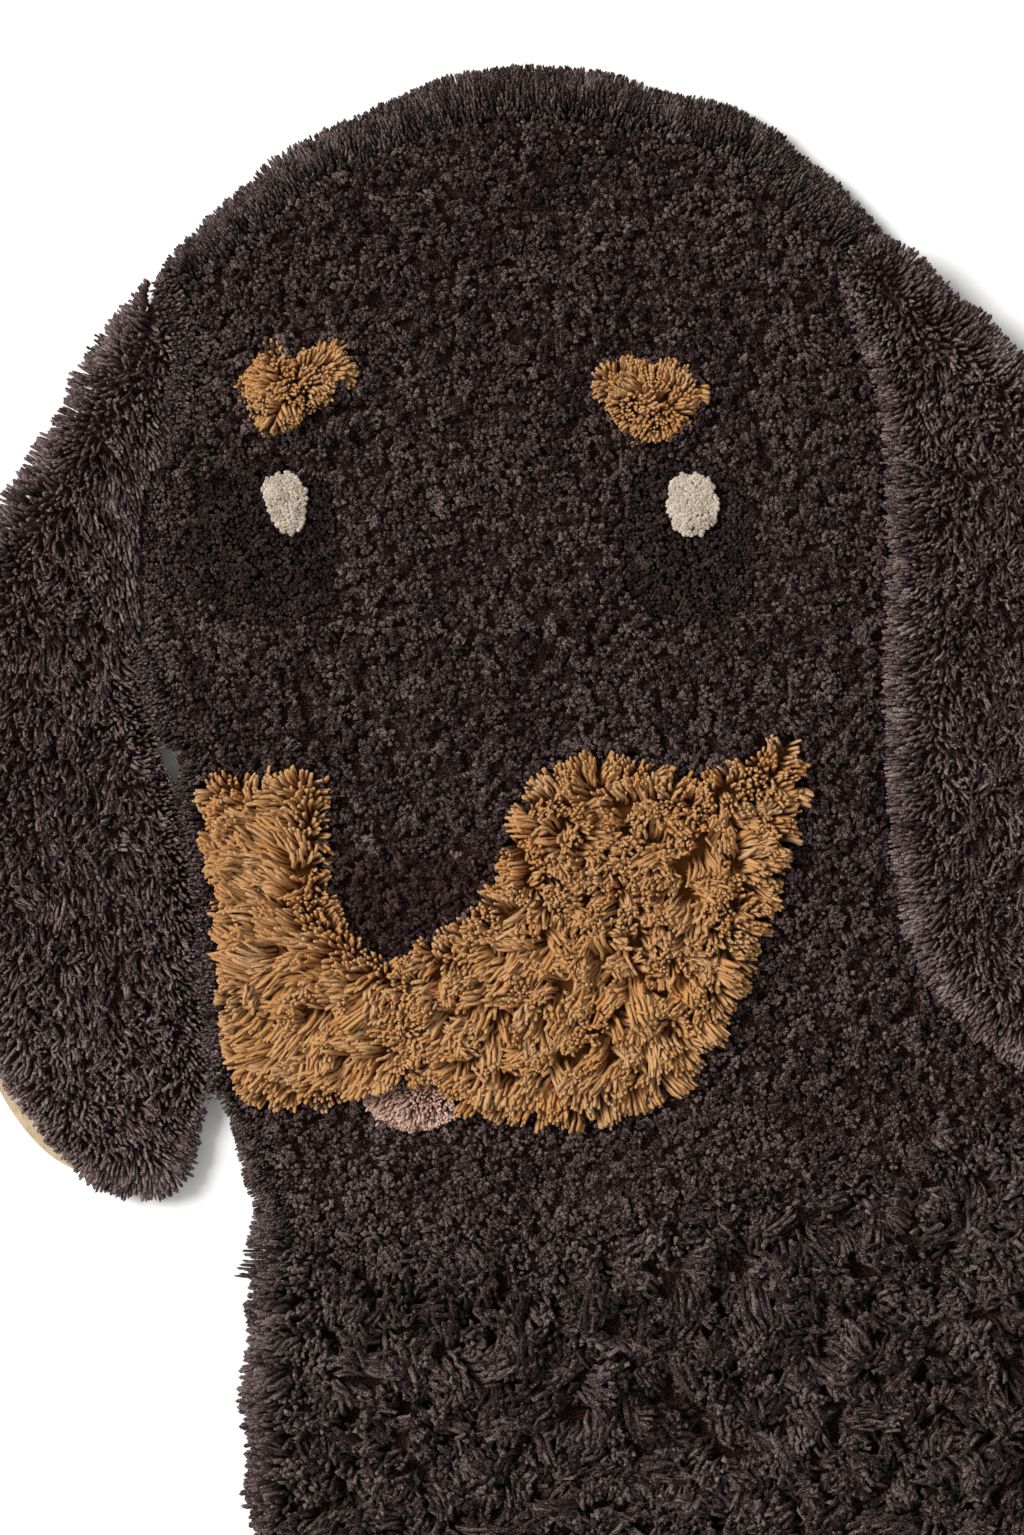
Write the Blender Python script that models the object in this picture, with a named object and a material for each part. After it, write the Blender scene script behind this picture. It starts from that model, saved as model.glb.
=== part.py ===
"""Dog shaped kids' rug in tufted cotton, lying flat on the floor.

The head and body are one lumpy slab of cut pile with locks at its rim.  The left ear is a tufted
flap that lies on the floor beside the head, on its own canvas.  The right ear lies on top of the
panel.  The eyes, brows, jowls and tongue are patches of other yarn.  Each sits in a pocket in the
pile around it, down to the backing.

Frame: metres, +Z up, the floor at z = 0, +Y towards the crown of the head, and the origin on the
floor under the middle of the whole rug.
"""
import math
import random

import bpy
import numpy as np
from mathutils import Vector
from mathutils.geometry import delaunay_2d_cdt

# --- driving dimensions, in metres -----------------------------------------------------------
PLAN_UNIT = 0.0005            # the plan tables count half millimetres
HEAD_PILE = 0.016             # height of the sheared pile of the head
BODY_PILE = 0.022             # height of the loose shag of the body
PRESSED_PILE = 0.0145         # height of the pile that the right ear lies on
EAR_PILE = 0.0135             # height of the pile of an ear above its underside
EYE_PILE = 0.0115
GLINT_PILE = 0.0145
BROW_PILE = 0.0210
JOWL_PILE = 0.0250
TONGUE_PILE = 0.0145
CANVAS = 0.0020               # thickness of the canvas under the left ear
POCKET_FLOOR = 0.0030         # the backing left under each patch of other yarn
SEAT_GAP = 0.0003             # what touches is this far apart
WALL_GAP = 0.0005             # clearance between a patch and the wall of its pocket
EDGE_GAP = 0.0006             # clearance between rims that lie against each other
LOCK_TIP = 0.0030             # height of a rim lock at its tip
CUTTER_TOP = 0.0600

# --- layout of the meshes --------------------------------------------------------------------
PANEL_PITCH = 19.0            # millimetres between the points of the panel's top
PATCH_PITCH = 11.0
EAR_PITCH = 15.0
CANVAS_PITCH = 40.0
LOCK_PITCH = 20.0             # millimetres along the rim from one lock to the next
EAR_LOCK_PITCH = 21.0
PATCH_LOCK_PITCH = 15.0
FINE_PITCH = 4.0              # for the small rims without locks
LOCK_INSIDE = 0.7             # share of a lock's length that lies inside the rim line
LOCK_LENGTHS = (0.75, 1.2)    # shortest and longest, as a share of the length in the table
LOCK_LEAN = 0.35              # most sideways lean of a lock, as a share of its length
LOCK_TAPER = 0.32             # width of a lock's tip, as a share of the lock pitch
RIM_SHARE = 0.58              # height of the pile at its rim, as a share of its full height
ROUNDING = 9.0                # millimetres over which the pile rises from its rim
GRID_MARGIN = 0.55            # least distance of a top point from the rim, in pitches
CURVE_SAMPLES = 24            # points read from each stretch of a smooth curve
SHARP_ANGLE = 50.0            # degrees
SEED = 11

# --- plan tables -----------------------------------------------------------------------------
# x runs to the right and y down, both in plan units; PLAN_MIDDLE is the point over the origin.
PLAN_MIDDLE = (546.41, 1085.73)

# Each row of a rim is x, y and the length of the locks there in millimetres.  Where a rim lies
# against another piece it has no locks.
PANEL_RIM = [
    (540, 70, 11), (600, 73, 11), (655, 82, 10), (705, 99, 9), (765, 120, 9), (815, 160, 9),
    (878, 218, 8), (918, 262, 5), (945, 300, 0), (995, 356, 0), (1068, 436, 0), (1118, 545, 0),
    (1138, 680, 0), (1136, 820, 0), (1132, 960, 4), (1135, 1080, 9), (1139, 1200, 11),
    (1141, 1350, 11), (1135, 1500, 11), (1118, 1680, 11), (1076, 1840, 11), (996, 1980, 11),
    (860, 2075, 11), (690, 2102, 11), (530, 2080, 11), (395, 1990, 11), (310, 1850, 11),
    (268, 1700, 11), (250, 1560, 11), (244, 1450, 11), (247, 1330, 11), (254, 1262, 9),
    (253, 1214, 8), (240, 1164, 5), (226, 1121, 4), (216, 1080, 0), (209, 1000, 0),
    (200, 900, 0), (192, 840, 0), (183, 785, 0), (167, 735, 0), (150, 690, 0), (138, 610, 0),
    (134, 545, 0), (140, 485, 0), (156, 438, 0), (175, 396, 0), (182, 355, 0), (172, 316, 0),
    (158, 288, 0), (163, 262, 5), (188, 236, 8), (222, 203, 9), (268, 164, 9), (318, 132, 9),
    (375, 106, 10), (435, 83, 11), (490, 73, 11),
]
EAR_LEFT_RIM = [
    (150, 272, 3), (124, 302, 7), (92, 343, 8), (62, 396, 8), (32, 452, 8), (-2, 502, 8),
    (-38, 570, 8), (-62, 665, 8), (-70, 780, 8), (-60, 900, 8), (-36, 1005, 7), (4, 1088, 4),
    (50, 1148, 4), (95, 1186, 7), (140, 1197, 8), (180, 1186, 8), (204, 1155, 8),
    (213, 1118, 4), (212, 1075, 0), (206, 1000, 0), (197, 900, 0), (187, 830, 0),
    (172, 785, 0), (157, 738, 0), (142, 690, 0), (144, 610, 0), (142, 545, 0), (148, 487, 0),
    (164, 442, 0), (183, 398, 0), (190, 355, 0), (180, 316, 0), (168, 288, 0),
]
EAR_LEFT_CANVAS = [
    (120, 330, 0), (76, 410, 0), (44, 468, 0), (4, 530, 0), (-24, 600, 0), (-46, 700, 0),
    (-52, 800, 0), (-44, 900, 0), (-34, 1000, 0), (-6, 1090, 0), (40, 1153, 0), (92, 1180, 0),
    (140, 1180, 0), (182, 1160, 0), (198, 1110, 0), (192, 1000, 0), (180, 880, 0),
    (154, 770, 0), (130, 680, 0), (122, 560, 0), (138, 450, 0), (160, 380, 0), (150, 320, 0),
]
EAR_RIGHT_RIM = [
    (866, 240, 3), (905, 248, 6), (958, 297, 8), (1024, 356, 8), (1095, 436, 8),
    (1142, 548, 8), (1161, 680, 8), (1158, 820, 8), (1140, 940, 8), (1108, 1035, 8),
    (1062, 1080, 8), (1010, 1061, 8), (955, 1018, 8), (914, 955, 8), (894, 870, 8),
    (886, 780, 8), (885, 670, 8), (887, 560, 8), (884, 460, 7), (872, 380, 6),
    (850, 320, 4), (838, 272, 3),
]
JOWL_LEFT_RIM = [
    (199, 778, 5), (235, 769, 6), (268, 776, 6), (300, 765, 6), (325, 778, 5), (329, 825, 5),
    (329, 880, 5), (346, 926, 5), (376, 952, 4), (402, 972, 0), (408, 1010, 0),
    (408, 1055, 0), (400, 1086, 0), (374, 1093, 0), (334, 1103, 5), (296, 1110, 6),
    (264, 1108, 6), (241, 1090, 5), (229, 1060, 4), (222, 1000, 4), (213, 900, 4),
    (205, 840, 4), (197, 802, 4),
]
JOWL_RIGHT_RIM = [
    (402, 966, 0), (450, 927, 5), (492, 884, 5), (510, 838, 5), (522, 798, 5), (546, 772, 5),
    (590, 756, 6), (635, 756, 6), (665, 769, 5), (692, 777, 5), (726, 765, 5), (766, 742, 6),
    (797, 728, 5), (804, 758, 5), (802, 802, 6), (791, 850, 6), (779, 900, 6), (760, 950, 6),
    (738, 1000, 6), (713, 1045, 6), (688, 1080, 6), (645, 1106, 6), (570, 1125, 7),
    (520, 1121, 7), (478, 1111, 0), (440, 1094, 0), (410, 1085, 0), (399, 1050, 0),
    (398, 1005, 0),
]
BROW_LEFT_RIM = [
    (228, 390, 4), (250, 364, 5), (264, 345, 5), (284, 345, 4), (294, 360, 3), (308, 344, 5),
    (334, 342, 5), (352, 356, 5), (353, 378, 5), (333, 399, 4), (314, 412, 4), (296, 424, 4),
    (271, 434, 5), (256, 417, 4), (243, 402, 4),
]
BROW_RIGHT_RIM = [
    (593, 382, 5), (606, 365, 5), (632, 361, 5), (662, 363, 5), (692, 368, 5), (704, 386, 5),
    (695, 412, 5), (672, 434, 5), (646, 443, 5), (624, 428, 4), (604, 404, 4),
]
GLINT_LEFT_RIM = [
    (262, 482, 0), (284, 471, 0), (303, 484, 0), (308, 508, 0), (301, 528, 0), (288, 536, 0),
    (275, 524, 0), (265, 503, 0),
]
GLINT_RIGHT_RIM = [
    (671, 481, 0), (690, 473, 0), (711, 479, 0), (718, 500, 0), (714, 523, 0), (700, 536, 0),
    (682, 533, 0), (669, 516, 0),
]
TONGUE_RIM = [
    (366, 1100, 0), (385, 1093, 0), (404, 1089, 0), (425, 1091, 0), (446, 1100, 0),
    (462, 1111, 0), (451, 1121, 0), (431, 1130, 0), (409, 1132, 0), (387, 1125, 0),
    (370, 1113, 0),
]
# Middle x, middle y, half width and half height of each eye, a rounded square.
EYE_LEFT = (261, 541, 75, 80)
EYE_RIGHT = (690, 543, 67, 83)
EYE_SQUARENESS = 3.0          # 2 is an ellipse

# The line under the chin where the shag of the body starts: x, y.
NECK_LINE = [
    (200, 1180), (250, 1222), (450, 1220), (620, 1210), (740, 1172), (870, 1140), (1024, 1098),
    (1160, 1070),
]
NECK_RISE = 80.0              # plan units over which the pile grows from head to body height

# Soft troughs in the panel's pile: from x, y to x, y, half width in millimetres, and depth in
# millimetres.
TROUGHS = [
    (250, 1205, 620, 1192, 11, 3.0),      # neck, left
    (620, 1192, 900, 1112, 11, 3.0),      # neck, right
    (470, 200, 500, 690, 14, 1.2),        # forehead and bridge of the nose
    (715, 425, 850, 330, 9, 2.5),         # from the right brow to the right ear
    (200, 640, 400, 700, 9, 1.6),         # left cheek
    (560, 700, 830, 640, 9, 1.6),         # right cheek
    (760, 500, 800, 620, 10, 1.8),        # beside the right eye
    (160, 470, 175, 620, 9, 1.8),         # beside the left eye
    (380, 560, 400, 700, 9, 1.4),         # left of the nose bridge
    (300, 1480, 700, 1440, 16, 3.0),      # folds of the shag
    (560, 1330, 1000, 1300, 16, 3.0),
    (420, 1680, 940, 1720, 18, 3.0),
    (500, 1900, 860, 1880, 18, 3.0),
]
# Lumps of the pile: wavelength in millimetres, heading in degrees, phase in degrees.
LUMP_WAVES = [
    (61, 12, 0), (47, 76, 40), (38, 133, 110), (53, 201, 200), (43, 164, 300),
]
HEAD_LUMP = 0.0009            # metres above and below the mean, for all waves together
BODY_LUMP = 0.0026
PATCH_LUMP = 0.0012
PATCH_LUMP_SCALE = 1.7        # a patch's lumps are this much closer together
EYE_CARVE = 0.0035            # depth of the sheared trough around an eye
EYE_CARVE_WIDTH = 0.22        # its half width, as a share of the eye's own
PRESSED_MARGIN = 1.35         # pitches around the right ear where the pile is pressed too

COLOURS = {
    "dark": (0.031, 0.025, 0.025, 1.0),
    "eye": (0.013, 0.008, 0.008, 1.0),
    "ear": (0.036, 0.028, 0.027, 1.0),
    "tan": (0.440, 0.215, 0.075, 1.0),
    "cream": (0.700, 0.630, 0.530, 1.0),
    "pink": (0.550, 0.330, 0.300, 1.0),
    "canvas": (0.560, 0.440, 0.290, 1.0),
}


def clear_scene():
    for old in list(bpy.data.objects):
        bpy.data.objects.remove(old, do_unlink=True)


def to_world(x, y, z):
    """Plan units and a height in metres to the rug's frame."""
    return ((x - PLAN_MIDDLE[0]) * PLAN_UNIT, (PLAN_MIDDLE[1] - y) * PLAN_UNIT, z)


def millimetres(length):
    """Millimetres to plan units."""
    return length * 0.001 / PLAN_UNIT


# --- curves in the plan ----------------------------------------------------------------------
def smooth_closed(rows, step, group=1):
    """Closed Catmull-Rom curve through the rows, in even steps of about `step` plan units.

    The number of steps is a multiple of `group`.
    """
    knots = np.array(rows, dtype=float)
    before = np.roll(knots, 1, axis=0)
    after = np.roll(knots, -1, axis=0)
    beyond = np.roll(knots, -2, axis=0)
    t = np.linspace(0.0, 1.0, CURVE_SAMPLES, endpoint=False)[None, :, None]
    a, b, c, d = (each[:, None, :] for each in (before, knots, after, beyond))
    fine = 0.5 * (2 * b + (c - a) * t + (2 * a - 5 * b + 4 * c - d) * t ** 2
                  + (3 * b - a - 3 * c + d) * t ** 3)
    fine = fine.reshape(-1, knots.shape[1])
    closed = np.vstack([fine, fine[:1]])
    run = np.hypot(*np.diff(closed[:, :2], axis=0).T)
    along = np.concatenate([[0.0], np.cumsum(run)])
    count = group * int(round(along[-1] / (step * group)))
    at = np.linspace(0.0, along[-1], count, endpoint=False)
    return np.column_stack([np.interp(at, along, closed[:, k]) for k in range(knots.shape[1])])


def signed_area(points):
    x, y = points[:, 0], points[:, 1]
    return 0.5 * np.sum(x * np.roll(y, -1) - np.roll(x, -1) * y)


def outward(points):
    """Unit normals of a closed outline, pointing away from its inside."""
    ahead = np.roll(points, -1, axis=0)[:, :2] - np.roll(points, 1, axis=0)[:, :2]
    ahead /= np.maximum(np.hypot(*ahead.T), 1e-9)[:, None]
    normal = np.column_stack([ahead[:, 1], -ahead[:, 0]])
    return normal * math.copysign(1.0, signed_area(points))


def nearest_on(points, outline):
    """Distance from each point to a closed outline, and the nearest place on it."""
    start = outline[:, :2]
    span = np.roll(start, -1, axis=0) - start
    best = np.full(len(points), np.inf)
    place = np.zeros((len(points), 2))
    for at, run in zip(start, span):
        share = np.clip(((points - at) @ run) / max(run @ run, 1e-12), 0.0, 1.0)
        spot = at + share[:, None] * run
        gap = np.hypot(*(points - spot).T)
        closer = gap < best
        best[closer] = gap[closer]
        place[closer] = spot[closer]
    return best, place


def inside(points, outline):
    """Whether each point lies inside a closed outline."""
    x, y = points[:, 0], points[:, 1]
    result = np.zeros(len(points), dtype=bool)
    start = outline[:, :2]
    end = np.roll(start, -1, axis=0)
    for (x0, y0), (x1, y1) in zip(start, end):
        if y0 == y1:
            continue
        crosses = (y0 > y) != (y1 > y)
        result ^= crosses & (x < (x1 - x0) * (y - y0) / (y1 - y0) + x0)
    return result


def spaced(outline, least):
    """Drops points that lie closer than `least` plan units to the one before."""
    kept = [outline[0]]
    for point in outline[1:]:
        if np.hypot(*(point[:2] - kept[-1][:2])) >= least:
            kept.append(point)
    if np.hypot(*(kept[-1][:2] - kept[0][:2])) < least:
        kept.pop()
    return np.array(kept)


def clear_of(outline, other, gap):
    """Moves the outline's points out of another outline, to `gap` plan units from it."""
    result = outline.copy()
    distance, place = nearest_on(outline[:, :2], other)
    within = inside(outline[:, :2], other)
    away = np.where(within[:, None], place - outline[:, :2], outline[:, :2] - place)
    away /= np.maximum(np.hypot(*away.T), 1e-6)[:, None]
    moved = within | (distance < gap)
    result[moved, :2] = place[moved] + gap * away[moved]
    return spaced(result, 2.0)


def grown(outline, distance):
    """The outline moved outwards by a small distance, with its corners kept."""
    points = outline[:, :2]
    back = points - np.roll(points, 1, axis=0)
    ahead = np.roll(points, -1, axis=0) - points
    turn = math.copysign(1.0, signed_area(points))
    sides = []
    for run in (back, ahead):
        run = run / np.maximum(np.hypot(*run.T), 1e-9)[:, None]
        sides.append(np.column_stack([run[:, 1], -run[:, 0]]) * turn)
    middle = sides[0] + sides[1]
    middle /= np.maximum(np.hypot(*middle.T), 1e-6)[:, None]
    reach = np.clip(np.sum(middle * sides[1], axis=1), 0.35, 1.0)
    return points + middle * (distance / reach)[:, None]


def locked_rim(rows, pitch, seed):
    """Rim with locks: rows of x, y and 0 at a root or 1 at a lock's tip.

    Each lock has four points: its root's start, the two sides of its tip, and its root's end.
    """
    chance = random.Random(seed)
    line = smooth_closed(rows, millimetres(pitch) / 4.0, 4)
    normal = outward(line)
    half_tip = 0.5 * LOCK_TAPER * millimetres(pitch)
    points = []
    for first in range(0, len(line), 4):
        length = millimetres(line[first + 1, 2]) * chance.uniform(*LOCK_LENGTHS)
        lean = chance.uniform(-LOCK_LEAN, LOCK_LEAN) * length
        if length < 1.0:
            points += [(x, y, 0.0) for x, y, _ in line[first:first + 4]]
            continue
        start, end = line[first, :2], line[first + 3, :2]
        run = (end - start) / np.hypot(*(end - start))
        tip = 0.5 * (line[first + 1, :2] + line[first + 2, :2]) + run * lean
        tip = tip + normal[first + 1] * (1.0 - LOCK_INSIDE) * length
        points.append((*(start - normal[first] * LOCK_INSIDE * length), 0.0))
        points.append((*(tip - run * half_tip), 1.0))
        points.append((*(tip + run * half_tip), 1.0))
        points.append((*(end - normal[first + 3] * LOCK_INSIDE * length), 0.0))
    return np.array(points)


def plain_rim(rows, pitch):
    """Rim without locks."""
    line = smooth_closed(rows, millimetres(pitch))
    return np.column_stack([line[:, :2], np.zeros(len(line))])


def eye_rim(middle_x, middle_y, half_width, half_height, pitch):
    """Rounded square, with its points spaced by their turn about the middle."""
    count = int(round(math.pi * (half_width + half_height) / millimetres(pitch)))
    turn = np.linspace(0.0, 2.0 * math.pi, count, endpoint=False)
    reach = (np.abs(np.cos(turn)) ** EYE_SQUARENESS
             + np.abs(np.sin(turn)) ** EYE_SQUARENESS) ** (-1.0 / EYE_SQUARENESS)
    return np.column_stack([middle_x + half_width * reach * np.cos(turn),
                            middle_y + half_height * reach * np.sin(turn), np.zeros(count)])


# --- height of the pile ----------------------------------------------------------------------
def smooth_step(value):
    value = np.clip(value, 0.0, 1.0)
    return value * value * (3.0 - 2.0 * value)


def lumps(points):
    """Uneven pile, from -1 to 1."""
    total = np.zeros(len(points))
    for wavelength, heading, phase in LUMP_WAVES:
        turn = math.radians(heading)
        along = points[:, 0] * math.cos(turn) + points[:, 1] * math.sin(turn)
        total += np.sin(2.0 * math.pi * along / millimetres(wavelength) + math.radians(phase))
    return total / math.sqrt(2.0 * len(LUMP_WAVES))


def trough_depth(points):
    total = np.zeros(len(points))
    for x0, y0, x1, y1, half_width, depth in TROUGHS:
        start = np.array((x0, y0), dtype=float)
        run = np.array((x1, y1), dtype=float) - start
        share = np.clip(((points - start) @ run) / (run @ run), 0.0, 1.0)
        gap = np.hypot(*(points - start - share[:, None] * run).T)
        total += 0.001 * depth * np.exp(-(gap / millimetres(half_width)) ** 2)
    return total


def panel_height(points, pressed_by):
    """Full height of the panel's pile, away from its rim."""
    neck_x, neck_y = np.array(NECK_LINE, dtype=float).T
    body = smooth_step((points[:, 1] - np.interp(points[:, 0], neck_x, neck_y)) / NECK_RISE)
    height = HEAD_PILE + (BODY_PILE - HEAD_PILE) * body
    height = height + (HEAD_LUMP + (BODY_LUMP - HEAD_LUMP) * body) * lumps(points)
    height = height - trough_depth(points)
    for eye in (EYE_LEFT, EYE_RIGHT):
        away = np.hypot((points[:, 0] - eye[0]) / eye[2], (points[:, 1] - eye[1]) / eye[3])
        height = height - EYE_CARVE * np.exp(-((away - 1.0) / EYE_CARVE_WIDTH) ** 2)
    gap, _ = nearest_on(points, pressed_by)
    under = inside(points, pressed_by) | (gap < millimetres(PRESSED_MARGIN * PANEL_PITCH))
    return np.where(under, np.minimum(height, PRESSED_PILE), height)


# --- solids ----------------------------------------------------------------------------------
def material(name, colour):
    made = bpy.data.materials.new(name)
    made.use_nodes = True
    shader = made.node_tree.nodes["Principled BSDF"]
    shader.inputs["Base Color"].default_value = COLOURS[colour]
    shader.inputs["Roughness"].default_value = 0.95
    shader.inputs["Metallic"].default_value = 0.0
    return made


def triangulate(rim, middle_points):
    """Triangles over a closed rim and the points inside it, as rows of point numbers."""
    count = len(rim)
    corners = [Vector(point) for point in rim] + [Vector(point) for point in middle_points]
    edges = [(index, (index + 1) % count) for index in range(count)]
    points, _, faces, origin, _, _ = delaunay_2d_cdt(corners, edges, [], 1, 1e-5)
    if len(points) != len(corners) or any(len(source) != 1 for source in origin):
        raise ValueError("the rim crosses itself")
    place = [source[0] for source in origin]
    return [tuple(place[index] for index in face) for face in faces]


def middle_grid(rim, pitch):
    """Staggered grid of points inside a rim, clear of it by about half the pitch."""
    step = millimetres(pitch)
    low, high = rim[:, :2].min(axis=0), rim[:, :2].max(axis=0)
    rows = []
    for row, y in enumerate(np.arange(low[1], high[1], step * math.sqrt(0.75))):
        start = low[0] + (row % 2) * step * 0.5
        rows += [(x, y) for x in np.arange(start, high[0], step)]
    grid = np.array(rows)
    grid = grid[inside(grid, rim)]
    gap, _ = nearest_on(grid, rim)
    return grid[gap > GRID_MARGIN * step]


def walled_solid(name, vertices, top, base, rim_count):
    """Closed object from triangles over a rim, their base, and the wall between them.

    The rim's points come first in `vertices`, and last again, in the same order, for the base.
    """
    under = len(vertices) - rim_count
    faces = list(top) + [tuple(under + index for index in reversed(face)) for face in base]
    forward = {(face[k], face[(k + 1) % 3]) for face in top for k in range(3)}
    for index in range(rim_count):
        after = (index + 1) % rim_count
        first, second = (index, after) if (index, after) in forward else (after, index)
        faces.append((second, first, under + first, under + second))
    mesh = bpy.data.meshes.new(name)
    mesh.from_pydata(vertices, [], faces)
    mesh.update()
    if sum(mesh.polygons[index].normal.z for index in range(len(top))) < 0.0:
        mesh.flip_normals()
    solid = bpy.data.objects.new(name, mesh)
    bpy.context.collection.objects.link(solid)
    return solid


def pile_slab(name, rim, pitch, bottom, height, colour, rim_share=RIM_SHARE):
    """Slab of pile with a flat underside, lower at its rim, and thin at its lock tips.

    `height` gives the full height above the floor for an array of plan points.
    """
    grid = middle_grid(rim, pitch)
    gap, _ = nearest_on(grid, rim)
    rise = 1.0 - (1.0 - rim_share) * np.exp(-gap / millimetres(ROUNDING))
    grid_top = bottom + (height(grid) - bottom) * rise
    rim_top = bottom + (height(rim[:, :2]) - bottom) * rim_share
    rim_top = np.where(rim[:, 2] > 0.5, bottom + LOCK_TIP, rim_top)

    vertices = [to_world(x, y, z) for (x, y), z in zip(rim[:, :2], rim_top)]
    vertices += [to_world(x, y, z) for (x, y), z in zip(grid, grid_top)]
    vertices += [to_world(x, y, bottom) for x, y in rim[:, :2]]
    slab = walled_solid(name, vertices, triangulate(rim[:, :2], grid),
                        triangulate(rim[:, :2], []), len(rim))
    slab.data.shade_smooth()
    slab.data.set_sharp_from_angle(angle=math.radians(SHARP_ANGLE))
    slab.data.materials.append(material(name, colour))
    return slab


def flat(level):
    """A height that is the same everywhere."""
    return lambda points: np.full(len(points), level)


def lumpy(level):
    """A height with a patch's lumps on it."""
    return lambda points: level + PATCH_LUMP * lumps(points * PATCH_LUMP_SCALE)


def pocket(host, rim, floor):
    """Cuts a pocket in the host for a patch, down to the floor given."""
    walls = spaced(grown(rim, WALL_GAP / PLAN_UNIT), 0.4)
    faces = triangulate(walls, [])
    vertices = [to_world(x, y, CUTTER_TOP) for x, y in walls]
    vertices += [to_world(x, y, floor) for x, y in walls]
    cutter = walled_solid(host.name + "_cutter", vertices, faces, faces, len(walls))
    cutter.hide_render = True
    cutter.display_type = "WIRE"
    cut = host.modifiers.new("pocket", "BOOLEAN")
    cut.operation = "DIFFERENCE"
    cut.solver = "EXACT"
    cut.object = cutter


# --- the rug ---------------------------------------------------------------------------------
def add_panel(panel_rim, ear_right_rim):
    return pile_slab("main_panel", panel_rim, PANEL_PITCH, 0.0,
                     lambda points: panel_height(points, ear_right_rim), "dark")


def add_ears(panel_rim, ear_right_rim):
    """The left ear on its canvas beside the head, and the right ear on top of the panel."""
    contact = EDGE_GAP / PLAN_UNIT
    canvas_rim = clear_of(plain_rim(EAR_LEFT_CANVAS, EAR_PITCH), panel_rim, contact)
    pile_slab("ear_left_backing", canvas_rim, CANVAS_PITCH, 0.0, flat(CANVAS), "canvas",
              rim_share=1.0)
    left_rim = locked_rim(EAR_LEFT_RIM, EAR_LOCK_PITCH, SEED + 2)
    left_floor = CANVAS + SEAT_GAP
    pile_slab("ear_left", clear_of(left_rim, panel_rim, contact), EAR_PITCH, left_floor,
              lumpy(left_floor + EAR_PILE), "ear")
    right_floor = PRESSED_PILE + SEAT_GAP
    pile_slab("ear_right", ear_right_rim, EAR_PITCH, right_floor,
              lumpy(right_floor + EAR_PILE), "ear")


def add_patches(panel):
    """The eyes, brows, jowls and tongue, each in its pocket, and the glints in the eyes."""
    contact = EDGE_GAP / PLAN_UNIT
    jowl_right = locked_rim(JOWL_RIGHT_RIM, PATCH_LOCK_PITCH, SEED + 3)
    jowl_left = locked_rim(JOWL_LEFT_RIM, PATCH_LOCK_PITCH, SEED + 4)
    jowl_left = clear_of(jowl_left, jowl_right, contact)
    tongue = clear_of(plain_rim(TONGUE_RIM, FINE_PITCH), jowl_right, contact)
    tongue = clear_of(tongue, jowl_left, contact)
    brow_left = locked_rim(BROW_LEFT_RIM, PATCH_LOCK_PITCH, SEED + 5)
    brow_right = locked_rim(BROW_RIGHT_RIM, PATCH_LOCK_PITCH, SEED + 6)
    patches = [
        ("jowl_left", jowl_left, JOWL_PILE, "tan"),
        ("jowl_right", jowl_right, JOWL_PILE, "tan"),
        ("brow_left", brow_left, BROW_PILE, "tan"),
        ("brow_right", brow_right, BROW_PILE, "tan"),
        ("tongue", tongue, TONGUE_PILE, "pink"),
        ("eye_left", eye_rim(*EYE_LEFT, PATCH_PITCH), EYE_PILE, "eye"),
        ("eye_right", eye_rim(*EYE_RIGHT, PATCH_PITCH), EYE_PILE, "eye"),
    ]
    seat = POCKET_FLOOR + SEAT_GAP
    made = {}
    for name, rim, top, colour in patches:
        pocket(panel, rim, POCKET_FLOOR)
        made[name] = pile_slab(name, rim, PATCH_PITCH, seat, lumpy(top), colour)
    for side, rows in (("left", GLINT_LEFT_RIM), ("right", GLINT_RIGHT_RIM)):
        rim = plain_rim(rows, FINE_PITCH)
        pocket(made["eye_" + side], rim, seat + POCKET_FLOOR)
        pile_slab("glint_" + side, rim, 1.5 * FINE_PITCH, seat + POCKET_FLOOR + SEAT_GAP,
                  flat(GLINT_PILE), "cream")


def build():
    clear_scene()
    panel_rim = locked_rim(PANEL_RIM, LOCK_PITCH, SEED)
    ear_right_rim = locked_rim(EAR_RIGHT_RIM, EAR_LOCK_PITCH, SEED + 1)
    panel = add_panel(panel_rim, ear_right_rim)
    add_ears(panel_rim, ear_right_rim)
    add_patches(panel)


build()
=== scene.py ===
"""Looks of the dog shaped kids' rug: cotton pile, canvas, floor, light and camera.

Every pile is made of strands of yarn, each swept along its own bent line up from the canvas.  The
plan repeats the outlines and heights of part.py, in plan units of half a millimetre, with x to
the right, y down, and PLAN_MIDDLE over the origin.  Distances are plan units, leans and tilts are
radians, and other amounts are shares, where nothing else is said.
"""

import math
from collections import namedtuple

import bpy
import numpy as np
from mathutils.kdtree import KDTree
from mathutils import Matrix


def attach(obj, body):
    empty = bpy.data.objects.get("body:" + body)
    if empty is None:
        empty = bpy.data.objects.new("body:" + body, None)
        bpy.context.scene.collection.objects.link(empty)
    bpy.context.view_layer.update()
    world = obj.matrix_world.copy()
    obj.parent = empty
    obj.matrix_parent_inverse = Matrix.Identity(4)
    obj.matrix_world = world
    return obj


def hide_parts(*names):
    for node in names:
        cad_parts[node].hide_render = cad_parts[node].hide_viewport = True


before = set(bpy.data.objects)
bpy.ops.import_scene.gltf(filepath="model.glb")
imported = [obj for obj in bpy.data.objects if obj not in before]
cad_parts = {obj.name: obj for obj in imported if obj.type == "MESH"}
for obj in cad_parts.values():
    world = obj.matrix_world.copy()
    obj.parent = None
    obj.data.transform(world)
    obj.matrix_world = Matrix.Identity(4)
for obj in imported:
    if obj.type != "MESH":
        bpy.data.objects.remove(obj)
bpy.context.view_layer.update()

# --- driving dimensions, in metres ---
MILLIMETRE = 0.001
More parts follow.
